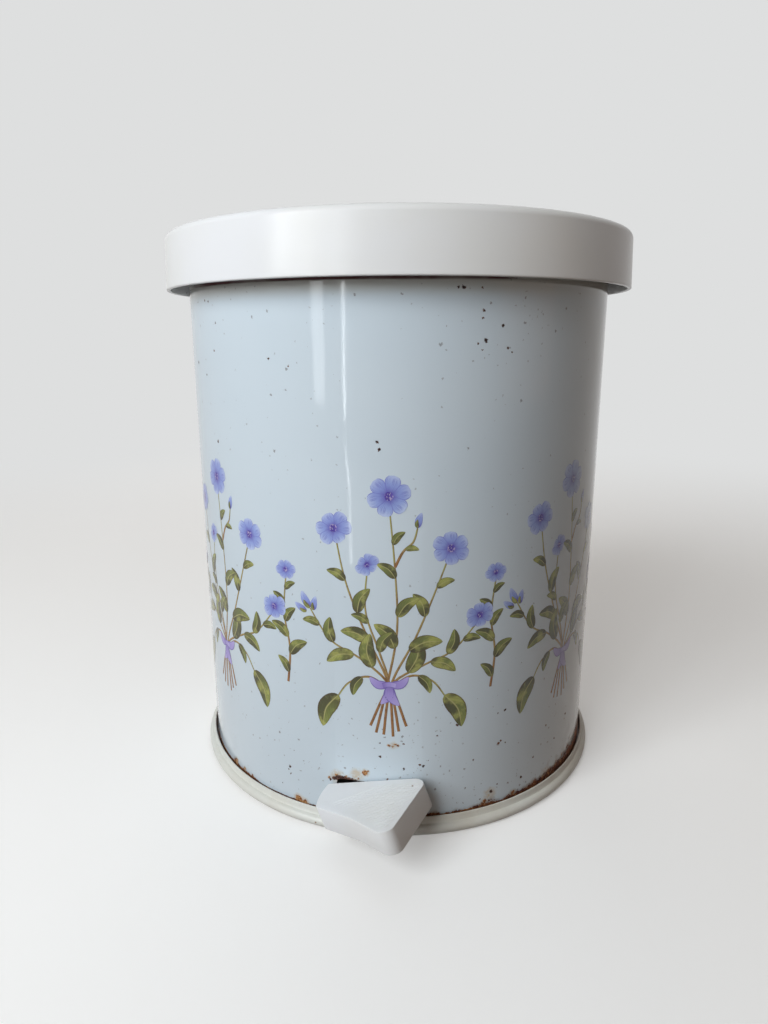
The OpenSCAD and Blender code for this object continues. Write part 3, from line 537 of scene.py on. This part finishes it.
# ---------- Modelling ----------

def deselect():
    if bpy.context.object and bpy.context.object.mode != "OBJECT":
        bpy.ops.object.mode_set(mode="OBJECT")
    bpy.ops.object.select_all(action="DESELECT")


def pick(piece):
    deselect()
    piece.select_set(True)
    bpy.context.view_layer.objects.active = piece
    return piece


def edit(piece, kind="VERT"):
    pick(piece)
    bpy.ops.object.mode_set(mode="EDIT")
    bpy.ops.mesh.select_mode(type=kind)


def choose_edges(piece, wanted):
    """Opens a piece in edit mode with only the edges selected whose two ends pass a test."""
    edit(piece, "EDGE")
    bpy.ops.mesh.select_all(action="DESELECT")
    bpy.ops.object.mode_set(mode="OBJECT")
    for edge in piece.data.edges:
        edge.select = wanted(*[piece.data.vertices[i].co for i in edge.vertices])
    bpy.ops.object.mode_set(mode="EDIT")


def settle(piece):
    """Puts a piece's place, turn and size into its mesh."""
    pick(piece)
    bpy.ops.object.transform_apply(location=True, rotation=True, scale=True)
    return piece


def shift(piece, by):
    """Moves all of a piece's mesh."""
    edit(piece)
    bpy.ops.mesh.select_all(action="SELECT")
    bpy.ops.transform.translate(value=by)
    bpy.ops.object.mode_set(mode="OBJECT")


def joined(pieces, name):
    """Makes one piece of several."""
    deselect()
    for piece in pieces:
        piece.select_set(True)
    bpy.context.view_layer.objects.active = pieces[0]
    bpy.ops.object.join()
    whole = bpy.context.object
    whole.name = name
    return whole


def turned(name, profile):
    """A form turned about the upright axis from its profile of (radius, height) points."""
    deselect()
    bpy.ops.mesh.primitive_plane_add(size=0.01)
    form = bpy.context.object
    form.name = name
    edit(form)
    bpy.ops.mesh.select_all(action="SELECT")
    bpy.ops.mesh.merge(type="CENTER")
    bpy.ops.transform.translate(value=(profile[0][0], 0, profile[0][1]))
    for last, point in zip(profile, profile[1:]):
        move = (point[0] - last[0], 0, point[1] - last[1])
        bpy.ops.mesh.extrude_region_move(TRANSFORM_OT_translate={"value": move})
    bpy.ops.mesh.select_all(action="SELECT")
    bpy.ops.mesh.remove_doubles(threshold=WELD)
    bpy.ops.mesh.spin(steps=STEPS, angle=2 * math.pi, center=(0, 0, 0), axis=(0, 0, 1))
    bpy.ops.mesh.select_all(action="SELECT")
    bpy.ops.mesh.remove_doubles(threshold=WELD)
    bpy.ops.mesh.normals_make_consistent(inside=False)
    bpy.ops.object.mode_set(mode="OBJECT")
    return form


def block(size, centre, round_off=0.0):
    """A box of a size, about a centre, with its edges rounded."""
    deselect()
    bpy.ops.mesh.primitive_cube_add(size=1, location=centre)
    made = bpy.context.object
    made.scale = size
    settle(made)
    if round_off:
        edit(made)
        bpy.ops.mesh.select_all(action="SELECT")
        bpy.ops.mesh.bevel(offset=round_off, segments=4, affect="EDGES")
        bpy.ops.object.mode_set(mode="OBJECT")
    return made


def rod(radius, length, centre):
    """An upright round bar of a length, about a centre."""
    deselect()
    bpy.ops.mesh.primitive_cylinder_add(vertices=64, radius=radius, depth=length, location=centre)
    return settle(bpy.context.object)


def modify(piece, kind, **settings):
    """Finishes a piece with a modifier, applied."""
    pick(piece)
    step = piece.modifiers.new(kind.lower(), kind)
    for key, value in settings.items():
        setattr(step, key, value)
    bpy.ops.object.modifier_apply(modifier=step.name)
    return piece


def carve(piece, tool, operation="DIFFERENCE"):
    """Cuts, joins or trims a piece with a tool shape, which is used up."""
    modify(piece, "BOOLEAN", operation=operation, solver="EXACT", object=tool)
    bpy.data.objects.remove(tool)
    return piece


def soften(piece, width, segments, angle=40):
    """Rounds a piece's sharp edges."""
    return modify(piece, "BEVEL", width=width, segments=segments, limit_method="ANGLE",
                  angle_limit=math.radians(angle))


def dress(piece, material, body, stands_for=()):
    """Gives a finished piece its smooth shading, material and body, and hides the CAD nodes that it stands
    for.
    """
    pick(piece)
    bpy.ops.object.shade_smooth_by_angle(angle=SMOOTH)
    piece.data.materials.clear()
    piece.data.materials.append(material)
    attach(piece, body)
    if stands_for:
        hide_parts(*stands_for)
    return piece


# ---------- Camera, light and floor ----------

def set_camera():
    data = bpy.data.cameras.new("camera")
    data.sensor_width = 36
    data.lens = 24.61
    camera = bpy.data.objects.new("camera", data)
    bpy.context.scene.collection.objects.link(camera)
    camera.location = (0.0365, -0.4535, 0.2625)
    turn = Matrix.Rotation(math.radians(5.72), 4, "Z") @ Matrix.Rotation(math.radians(76), 4, "X")
    camera.rotation_euler = (turn @ Matrix.Rotation(math.radians(-0.2), 4, "Z")).to_euler()
    data.clip_start = 0.01
    bpy.context.scene.camera = camera


def panel(name, size, place, aim, power, tint):
    """A soft box: a lit rectangle that faces a point."""
    data = bpy.data.lights.new(name, "AREA")
    data.shape = "RECTANGLE"
    data.size, data.size_y = size
    data.energy = power
    data.color = tint
    lamp = bpy.data.objects.new(name, data)
    bpy.context.scene.collection.objects.link(lamp)
    lamp.location = place
    lamp.rotation_euler = (Vector(aim) - Vector(place)).to_track_quat("-Z", "Y").to_euler()
    lamp.visible_camera = False
    return lamp


BACKDROP = srgb(222, 223, 223)


def set_world():
    """A dim warm room for the fill light, and a pale backdrop for what is seen directly."""
    world = bpy.data.worlds.new("studio")
    bpy.context.scene.world = world
    world.use_nodes = True
    room = Nodes(world.node_tree)
    fill = room.feed(room.tree.nodes["Background"], Color=(1.0, 0.68, 0.44, 1), Strength=0.06)
    pale = room.feed(room.node("ShaderNodeBackground"), Color=BACKDROP)
    both = room.node("ShaderNodeMixShader")
    room.feed(both, i0=room.seen(), i1=fill.outputs[0], i2=pale.outputs[0])
    room.tree.links.new(both.outputs[0], room.tree.nodes["World Output"].inputs[0])


def set_floor():
    """A wide pale floor that fades into the background. Seen directly it is paler than its bounce."""
    deselect()
    bpy.ops.mesh.primitive_circle_add(vertices=96, radius=6, fill_type="NGON")
    floor = bpy.context.object
    floor.name = "studio_floor"
    finish = Finish("studio_floor", (224, 224, 222), Roughness=0.62)
    finish.feed(finish.shader, **{"Specular IOR Level": 0.25})
    seen = finish.seen()
    finish.colour(finish.blend(seen, srgb(92, 71, 54), srgb(229, 229, 228)))
    lift = finish.node("ShaderNodeEmission")
    finish.feed(lift, Color=srgb(255, 255, 254), Strength=finish.times(seen, 0.26))
    pale = finish.node("ShaderNodeAddShader")
    finish.feed(pale, i0=finish.shader.outputs[0], i1=lift.outputs[0])
    glow = finish.node("ShaderNodeEmission")
    finish.feed(glow, Color=BACKDROP, Strength=finish.math("MULTIPLY_ADD", seen, 0.85, 0.15))
    away = finish.node("ShaderNodeVectorMath", operation="LENGTH")
    finish.feed(away, i0=finish.place)
    both = finish.node("ShaderNodeMixShader")
    finish.feed(both, i0=finish.step(away.outputs["Value"], 0.30, 1.35),
                i1=pale.outputs[0], i2=glow.outputs[0])
    finish.tree.links.new(both.outputs[0], finish.tree.nodes["Material Output"].inputs[0])
    floor.data.materials.append(finish.material)


def towards(angle, distance, height):
    """A place at an angle from the front, counted towards the right, and at a distance."""
    turn = math.radians(angle)
    return Vector((distance * math.sin(turn), -distance * math.cos(turn), height))


DAY = (0.93, 0.97, 1.0)
WARM = (1.0, 0.50, 0.22)
EVEN = (1.0, 0.97, 0.93)
# Lamps round the object: name, size, angle from the front, distance, height, watts, tint and glint
LAMPS = [
    ("window_light", (1.1, 1.1), -33, 1.4, 0.98, 19.9, DAY, False),
    ("window_gap", (0.030, 1.3), -21.5, 1.5, 0.66, 1.5, DAY, True),
    ("window_blind", (0.17, 1.3), -34.5, 1.5, 0.66, 2.5, DAY, True),
    ("window_sky", (0.22, 0.9), -46, 1.5, 0.90, 3.6, DAY, True),
    ("room_right", (0.9, 0.9), 72, 1.5, 0.5, 0.44, WARM, True),
    ("room_back", (1.2, 1.0), 198, 1.6, 0.75, 7, EVEN, False),
    ("room_back", (1.2, 1.0), 163, 1.6, 0.75, 1.6, EVEN, False)]
# Strips of window light on the floor: size, place, turn in degrees and watts
SILLS = [
    ((0.012, 0.40), (-0.245, -0.74, 0.004), -20.6, 0.10),
    ((0.018, 0.52), (-0.432, -1.161, 0.004), -26.6, 0.24)]


def set_light():
    """A window's broad light from the left front, its panes' glints, and a dim warm room."""
    middle = Vector((0, 0, 0.16))
    for name, size, angle, distance, height, watts, tint, glint in LAMPS:
        lamp = panel(name, size, towards(angle, distance, height), middle, watts, tint)
        lamp.visible_glossy = glint
    for size, place, turn, watts in SILLS:
        strip = panel("window_sill", size, place, middle, watts, DAY)
        strip.rotation_euler = (math.pi, 0, math.radians(turn))


# ---------- The body ----------

SEAM_TURN = math.radians(33.4)        # from the back, towards the left


def make_body(material):
    """Rolled steel body: wall, beaded top edge, bottom flange, lap seam and lever slot."""
    inside = BODY_R - SHEET
    middle = BODY_R - SHEET / 2
    flange = inside - FLANGE
    bead_z = BODY_TOP - BEAD_R
    lean = math.degrees(math.acos(SHEET / 2 / BEAD_R))
    profile = [(flange, BODY_FOOT), (BODY_R - 0.5 * MM, BODY_FOOT)]
    profile += arc((BODY_R - 0.5 * MM, BODY_FOOT + 0.5 * MM), 0.5 * MM, -70, 0, 4)
    profile += arc((middle, bead_z), BEAD_R, -lean, 180 + lean, 18)
    profile += [(inside, BODY_FOOT + SHEET), (flange, BODY_FOOT + SHEET), (flange, BODY_FOOT)]
    body = turned("body_shell_steel", profile)
    seam_low, seam_high = RING_TOP + 1 * MM, BODY_TOP - 2 * BEAD_R
    seam_size = (6 * MM, 0.5 * MM, seam_high - seam_low)
    seam = block(seam_size, (0, BODY_R + 0.05 * MM, (seam_high + seam_low) / 2), 0.18 * MM)
    seam.rotation_euler.z = SEAM_TURN
    carve(body, settle(seam), "UNION")
    carve(body, lever_window())
    crank_notch = block((7.4 * MM, 12 * MM, 20 * MM), (5.9 * MM, BODY_R, HINGE_Z + 4 * MM), 0.6 * MM)
    carve(body, crank_notch)
    return dress(body, material, "bin", ["body_shell"])


def lever_window():
    """The slot that the lever comes out of, with rounded upper corners."""
    low, high, width, corner = 9.6 * MM, 30 * MM, 46 * MM, 3 * MM
    window = block((width, 12 * MM, high - low), (0, -BODY_R, (low + high) / 2))
    choose_edges(window, lambda a, b: min(a.z, b.z) > high - WELD and abs(a.x - b.x) < WELD)
    bpy.ops.mesh.bevel(offset=corner, segments=8, affect="EDGES")
    bpy.ops.object.mode_set(mode="OBJECT")
    return window


# ---------- The base ----------

POST_X = 60.0 * MM                    # the posts that the bucket stands on
POST_Y = 55.9 * MM
POST_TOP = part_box("inner_bucket")[0].z - 0.3 * MM
POST_R = 7 * MM
POST_BORE_R = 5 * MM
CUP_R = 6 * MM                        # the cup that holds the lever's buffer
CUP_BORE_R = 2.55 * MM


def make_base(material):
    """Moulded base: floor with posts, seat, lip round the body and the bead round its foot."""
    seat_in = BODY_R - SHEET - FLANGE - 0.3 * MM
    bead = 3 * MM
    lip = (RING_IN + 0.6 * MM, RING_TOP - 0.6 * MM)
    crease = (RING_R - bead, 2 * bead)
    profile = [(0, 0)]
    profile += arc((RING_R - bead, bead), bead, -90, 78, 14)
    profile += arc((crease[0] + 0.55 * MM, crease[1] + 0.65 * MM), 0.75 * MM, 250, 200, 4)
    profile += arc(lip, 0.6 * MM, 15, 180, 9)
    profile += [(RING_IN, BODY_FOOT), (seat_in, BODY_FOOT), (seat_in, FLOOR_TOP), (0, FLOOR_TOP)]
    base = turned("base_moulding", profile)
    for x in (-1, 1):
        for y in (-1, 1):
            place = Vector((x * POST_X, y * POST_Y, 0))
            post = rod(POST_R, POST_TOP - 1 * MM, place + Vector((0, 0, (POST_TOP + 1 * MM) / 2)))
            soften(post, 0.6 * MM, 3)
            carve(base, post, "UNION")
            carve(base, rod(POST_BORE_R, POST_TOP, place + Vector((0, 0, FLOOR_TOP + POST_TOP / 2))))
    buffer_low, buffer_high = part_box("pedal_buffer")
    buffer = ((buffer_low + buffer_high) / 2).xy.to_3d()
    cup = rod(CUP_R, 3 * MM, buffer + Vector((0, 0, FLOOR_TOP - 0.5 * MM)))
    carve(base, soften(cup, 0.5 * MM, 3), "UNION")
    carve(base, rod(CUP_BORE_R, 4 * MM, buffer + Vector((0, 0, FLOOR_TOP))))
    return dress(base, material, "bin", ["base"])


# ---------- The lid ----------

def make_lid(material):
    """Moulded lid: domed top, rounded edge, drafted skirt and the seat ring inside."""
    wall = 2.2 * MM
    draft = 1 * MM
    dome = lid_high.z - LID_EDGE
    rounding = 4 * MM
    crown = (LID_R - draft - rounding, LID_EDGE - rounding)
    under = LID_EDGE - wall
    across = [crown[0] * i / 12 for i in range(12)]

    def rise(out):
        """How far the dome stands above its edge, at a distance from the axis."""
        return dome * (1 - (out / crown[0]) ** 2)

    profile = [(out, LID_EDGE + rise(out)) for out in across]
    profile += arc(crown, rounding, 87, 4, 10)
    profile += [(LID_R - 0.02 * MM, SKIRT_Z + 1.2 * MM)]
    profile += arc((LID_R - 0.7 * MM, SKIRT_Z + 0.7 * MM), 0.7 * MM, 0, -90, 5)
    profile += arc((LID_R - wall + 0.5 * MM, SKIRT_Z + 0.5 * MM), 0.5 * MM, -90, -180, 4)
    profile += arc(crown, rounding - wall, 8, 84, 6)
    profile += [(out, under + rise(out)) for out in reversed(across)]
    lid = turned("lid_moulding", profile)
    rib_r = BODY_R + 0.9 * MM
    rib_low = BODY_TOP + 0.3 * MM
    rib_high = under + rise(rib_r) + 0.8 * MM
    rib_in = rib_r - 2.4 * MM
    edge = 0.5 * MM
    rib = turned("lid_rib", [(rib_in, rib_high), (rib_in, rib_low + edge), (rib_in + edge, rib_low),
                             (rib_r - edge, rib_low), (rib_r, rib_low + edge), (rib_r, rib_high),
                             (rib_in, rib_high)])
    plate_gap = block((33 * MM, LID_R, 60 * MM), (0, LID_R / 2, BODY_TOP))
    carve(lid, carve(rib, plate_gap), "UNION")
    cut_high = HINGE_Z + 8 * MM
    cut_tall = cut_high - SKIRT_Z + 20 * MM
    mouth = (0, BODY_R + 15 * MM, cut_high - cut_tall / 2)
    carve(lid, block((68 * MM, 60 * MM, cut_tall), mouth, 1.2 * MM))
    screw_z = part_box("lid_plate_screws")[0].z + 1 * MM
    for x, ahead in ((-13, 22), (13, 22), (0, 34)):
        x, y = x * MM, HINGE_Y - ahead * MM
        top = under + rise(y) + 0.8 * MM
        low = under - 1.6 * MM
        boss = rod(4.2 * MM, top - low, (x, y, (top + low) / 2))
        carve(boss, rod(1.65 * MM, 5 * MM, (x, y, screw_z)))
        carve(lid, boss, "UNION")
    return dress(lid, material, "lid", ["lid"])


# ---------- The print: tied posies with a small sprig between them ----------

REPEATS = 7
REPEAT_WIDE = 2 * math.pi * BODY_R / REPEATS
PRINT_START = -3 * REPEAT_WIDE + 6 * MM

# Each stem's points (across, up) in mm, then its leaves: share of the stem, side, length in mm
STEMS = [
    ([(-7, 60), (-1, 88), (4, 118), (3, 150), (0, 184)],
     [(0.42, 1, 17), (0.56, -1, 15), (0.72, 1, 12), (0.84, -1, 9)]),
    ([(5, 61), (0, 88), (-12, 116), (-22, 143), (-27, 167)],
     [(0.46, 1, 16), (0.60, -1, 15), (0.76, 1, 11)]),
    ([(-3, 59), (1, 88), (13, 113), (23, 138), (30, 157)],
     [(0.44, -1, 18), (0.62, 1, 14), (0.78, -1, 10)]),
    ([(9, 64), (0, 88), (-15, 102), (-31, 111), (-42, 127)],
     [(0.40, -1, 19), (0.55, 1, 16), (0.72, -1, 14), (0.86, 1, 10)]),
    ([(-10, 64), (1, 88), (18, 99), (33, 106), (46, 120)],
     [(0.38, 1, 20), (0.55, -1, 15), (0.70, 1, 14), (0.84, -1, 10)]),
    ([(2, 58), (0, 88), (-5, 106), (-12, 128), (-11, 150)], [(0.50, -1, 13), (0.68, 1, 10)]),
    ([(1, 84), (-10, 92), (-21, 88), (-27, 80)], [(0.45, 1, 12), (0.99, 0.2, 22)]),
    ([(0, 85), (11, 93), (22, 90), (29, 81)], [(0.45, -1, 12), (0.99, -0.2, 22)]),
    ([(3, 152), (7, 160), (12, 165), (14, 172)], [(0.4, -1, 7)]),
    ([(55, 82), (57, 102), (54, 122), (56, 142)],
     [(0.12, 1, 11), (0.28, -1, 14), (0.44, 1, 13), (0.58, -1, 11), (0.72, 1, 10), (0.86, -1, 8)])]
# Blossoms: across, up, radius, turn and how far they lean back, as a share
BLOSSOMS = [(0, 188, 11.0, 8, 0.95), (-28, 171, 10.0, 30, 0.80), (31, 161, 10.0, -14, 0.86),
            (47.5, 124, 8.4, 20, 0.78), (-11, 153, 6.8, 44, 0.70), (56, 146, 6.4, 5, 0.80)]
# Buds: across, up, direction in degrees and length
BUDS = [(-42, 127, 118, 10), (-40, 126, 80, 8), (-44, 125, 150, 8), (14, 172, 75, 8)]


def on_spine(spine, share):
    """The place on a smooth line through a spine's points, and the direction there."""
    spans = len(spine) - 1
    at = min(int(share * spans), spans - 1)
    t = share * spans - at
    p0, p1, p2, p3 = [Vector(spine[min(max(at + i, 0), spans)]) for i in (-1, 0, 1, 2)]
    place = 0.5 * (2 * p1 + (p2 - p0) * t + (2 * p0 - 5 * p1 + 4 * p2 - p3) * t ** 2
                   + (3 * p1 - p0 - 3 * p2 + p3) * t ** 3)
    along = 0.5 * ((p2 - p0) + 2 * (2 * p0 - 5 * p1 + 4 * p2 - p3) * t
                   + 3 * (3 * p1 - p0 - 3 * p2 + p3) * t ** 2)
    return place, along.normalized()


def stroke(spine, width, depth, rows, columns):
    """A flat printed shape along its spine: width gives half its width at each share of the length."""
    bpy.ops.mesh.primitive_grid_add(x_subdivisions=columns, y_subdivisions=rows, size=1)
    shape = bpy.context.object
    for vertex in shape.data.vertices:
        share = vertex.co.y + 0.5
        place, along = on_spine(spine, share)
        side = 2 * vertex.co.x * max(width(share), 0.02)
        vertex.co = Vector((place.x + along.y * side, -depth, place.y - along.x * side)) * MM
    return shape


def leaf(x, z, direction, length, depth, curl):
    """A pointed leaf from its foot towards a direction in degrees."""
    ahead = Vector((math.cos(math.radians(direction)), math.sin(math.radians(direction))))
    aside = Vector((-ahead.y, ahead.x)) * length * curl
    foot = Vector((x, z))
    spine = [foot, foot + ahead * length * 0.5 + aside, foot + ahead * length]
    half = length * 0.23
    return stroke(spine, lambda t: half * math.sin(math.pi * t ** 0.8) ** 0.85, depth, 14, 4)


def petal(x, z, direction, length, lean, turn, depth):
    """One rounded petal of a blossom that leans back, so that its circle is narrower one way."""
    spine = []
    for share in (0.08, 0.55, 1.0):
        reach = Vector((math.cos(math.radians(direction)), math.sin(math.radians(direction))))
        tilt = Matrix.Rotation(math.radians(turn), 2)
        reach = tilt @ Vector((reach.x, reach.y * lean)) * length * share
        spine.append(Vector((x, z)) + reach)
    half = 0.36 * length

    def width(t):
        rounded = math.sqrt(max(0.0, 1 - max(0.0, (t - 0.6) / 0.4) ** 2))
        return half * (0.16 + 0.84 * min(1.0, t / 0.6) ** 0.8) * rounded
    return stroke(spine, width, depth, 10, 4)


def disc(x, z, radius, depth):
    spine = [Vector((x - radius, z)), Vector((x + radius, z))]
    return stroke(spine, lambda t: radius * math.sqrt(max(0.0, 1 - (2 * t - 1) ** 2)), depth, 8, 2)


def draw_posy():
    """The shapes of one repeat, by layer, each at its own small depth so that none cuts another."""
    layers = {"stems": [], "leaves": [], "petals": [], "centres": [], "tie": []}
    count = 0
    for number, (spine, leaves) in enumerate(STEMS):
        spine = [Vector(p) for p in spine]
        layers["stems"].append(stroke(spine, lambda t: 0.75 - 0.35 * t, 0.030 + 0.002 * number, 22, 2))
        for share, side, length in leaves:
            place, along = on_spine(spine, share)
            heading = math.degrees(math.atan2(along.y, along.x)) + 48 * side
            layers["leaves"].append(leaf(place.x, place.y, heading, length, 0.055 + 0.005 * (count % 4),
                                         0.13 if side < 0 else -0.13))
            count += 1
    for x, z, radius, turn, lean in BLOSSOMS:
        for k in range(6):
            depth = 0.085 + 0.008 * (k % 2) + 0.002 * (k // 2)
            layers["petals"].append(petal(x, z, 60 * k + turn, radius, lean, turn, depth))
        layers["centres"].append(disc(x, z, radius * 0.20, 0.115))
    for x, z, heading, length in BUDS:
        layers["petals"].append(leaf(x, z, heading, length, 0.085, 0.05))
        layers["leaves"].append(leaf(x, z, heading + 14, length * 0.55, 0.110, 0.1))
    layers["tie"].append(stroke([Vector((-3.4, 87.4)), Vector((0, 88.2)), Vector((3.4, 87.6))],
                                lambda t: 1.5, 0.125, 6, 2))
    for heading, length, curl in ((158, 11, 0.2), (24, 11, -0.2), (-112, 12, 0.15), (-66, 13, -0.15)):
        layers["tie"].append(leaf(0, 88, heading, length, 0.118, curl))
    return layers


def wrap(shapes, name, material):
    """Joins a layer, repeats it round the body and bends it onto the wall."""
    layer = settle(joined(shapes, name))
    modify(layer, "SOLIDIFY", thickness=0.02 * MM, offset=-1)
    modify(layer, "ARRAY", count=REPEATS, use_relative_offset=False, use_constant_offset=True,
           constant_offset_displace=(REPEAT_WIDE, 0, 0))
    shift(layer, (PRINT_START, 0, 0))
    across = [v.co.x for v in layer.data.vertices]
    modify(layer, "SIMPLE_DEFORM", deform_method="BEND", deform_axis="Z",
           angle=(max(across) - min(across)) / BODY_R)
    shift(layer, (0, -BODY_R, 0))
    return dress(layer, material, "bin")


def make_print():
    inks = {"stems": stem_ink, "leaves": leaf_ink, "petals": petal_ink, "centres": centre_ink,
            "tie": tie_ink}
    for layer, shapes in draw_posy().items():
        wrap(shapes, "print_" + layer, inks[layer]())


# ---------- The pedal pad ----------

def merged_copy(node, name):
    """A copy of a CAD node with its triangles joined into one skin and its flat faces made whole."""
    pick(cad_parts[node])
    bpy.ops.object.duplicate()
    piece = bpy.context.object
    piece.name = name
    bpy.ops.mesh.customdata_custom_splitnormals_clear()
    edit(piece)
    bpy.ops.mesh.select_all(action="SELECT")
    bpy.ops.mesh.remove_doubles(threshold=1e-6)
    bpy.ops.mesh.dissolve_limited(angle_limit=math.radians(1.5))
    bpy.ops.object.mode_set(mode="OBJECT")
    return piece


PAD_ROLL = math.radians(7.7)
PAD_MIDDLE = Vector((-2 * MM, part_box("pedal_pad")[1].y - 18.8 * MM, 31.73 * MM))
RIB_TURN = math.radians(28)
RIB_PITCH = 1.85 * MM
RIB_HALF = (0.68 * MM, 0.50 * MM)     # half its width and half its height
RIB_SUNK = 0.12 * MM
# The field of ribs about the pad's middle, in mm, square to the pad's leaning top
RIB_FIELD = [
    (-22, 2), (4, 14.8), (24.5, 15), (25.3, 13), (10, -20.5), (6.5, -20.5), (-7.5, -8.3), (-23, -0.3)]


def rib_ends(offset):
    """Where a line across the ribs' field, at an offset from its middle, enters and leaves it."""
    along = Vector((math.cos(RIB_TURN), math.sin(RIB_TURN)))
    across = Vector((-along.y, along.x))
    cuts = []
    corners = [Vector(p) * MM for p in RIB_FIELD]
    for a, b in zip(corners, corners[1:] + corners[:1]):
        da = a.dot(across) - offset
        db = b.dot(across) - offset
        if da * db < 0:
            cuts.append((a + (b - a) * da / (da - db)).dot(along))
    return (min(cuts), max(cuts)) if len(cuts) == 2 else None


def make_pad(material):
    """Moulded pad with rounded edges and fine grip ribs across its top, worn away to the left."""
    pad = merged_copy("pedal_pad", "pedal_pad_moulding")
    soften(pad, 1.7 * MM, 4, 35)
    ribs = []
    for k in range(-14, 15):
        ends = rib_ends(RIB_PITCH * k)
        if ends and ends[1] - ends[0] > 4 * MM:
            deselect()
            bpy.ops.mesh.primitive_uv_sphere_add(segments=12, ring_count=20, radius=1)
            rib = bpy.context.object
            rib.rotation_euler = (0, math.pi / 2, 0)
            settle(rib)
            rib.scale = ((ends[1] - ends[0]) / 2, *RIB_HALF)
            rib.rotation_euler = (0, math.radians(-0.4), RIB_TURN)
            middle = Vector(((ends[0] + ends[1]) / 2, RIB_PITCH * k, 0))
            rib.location = Matrix.Rotation(RIB_TURN, 3, "Z") @ middle
            ribs.append(settle(rib))
    comb = joined(ribs, "grip_ribs")
    comb.rotation_euler = (0, -PAD_ROLL, 0)
    comb.location = PAD_MIDDLE - Vector((0, 0, RIB_SUNK))
    settle(comb)
    carve(pad, comb, "UNION")
    return dress(pad, material, "pedal", ["pedal_pad"])


# ---------- Scene ----------

bpy.context.scene.view_settings.view_transform = "Standard"

set_camera()
set_world()
set_floor()
set_light()

paint = enamel()
lid_white = white_plastic("white_lid_plastic", (230, 231, 233), (228, 228, 225), 0.23, 0.05).material
ring_ivory = ring_plastic()
pad_white = white_plastic("white_pad_plastic", (233, 236, 239), (229, 230, 229), 0.38, 0.12).material
zinc = metal("zinc_plated_steel", (182, 184, 184), (160, 160, 157), 0.38, 0.15)
old_steel = metal("old_steel", (140, 136, 130), (104, 98, 92), 0.46, 0.55)
bright = metal("bright_wire", (188, 189, 190), (158, 158, 158), 0.26, 0.05)
soft_alloy = metal("rivet_alloy", (196, 197, 199), (168, 168, 170), 0.34, 0.0)
dark_clip = metal("dark_spring_steel", (96, 92, 90), (64, 62, 62), 0.42, 0.35)
rubber = soft_rubber()
bucket_grey = bucket_plastic()
nylon = white_plastic("natural_nylon", (226, 221, 204), (214, 206, 184), 0.46, 0.02).material

NODE_FINISH = {
    "base_screws": zinc, "lid_plate_screws": zinc, "axle_screws": zinc, "pad_screw": zinc,
    "lid_hinge_plate": zinc, "hinge_bracket": zinc, "hinge_pin": bright, "pin_clips": dark_clip,
    "bracket_rivets": soft_alloy, "guide_rivets": soft_alloy, "push_rod": old_steel,
    "rod_clips": dark_clip, "rod_guide_lower": zinc, "rod_guide_upper": zinc,
    "pedal_lever": old_steel, "lever_bush": nylon, "pedal_axle": bright,
    "axle_bracket_left": zinc, "axle_bracket_right": zinc, "axle_clips": dark_clip,
    "pedal_buffer": rubber, "inner_bucket": bucket_grey, "bucket_handle": bright,
    "handle_grip": nylon, "pedal_pad": pad_white, "base": ring_ivory, "lid": lid_white,
    "body_shell": paint}
for node, finish in NODE_FINISH.items():
    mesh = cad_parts[node].data
    mesh.materials.clear()
    mesh.materials.append(finish)

make_body(paint)
make_base(ring_ivory)
make_lid(lid_white)
make_print()
make_pad(pad_white)
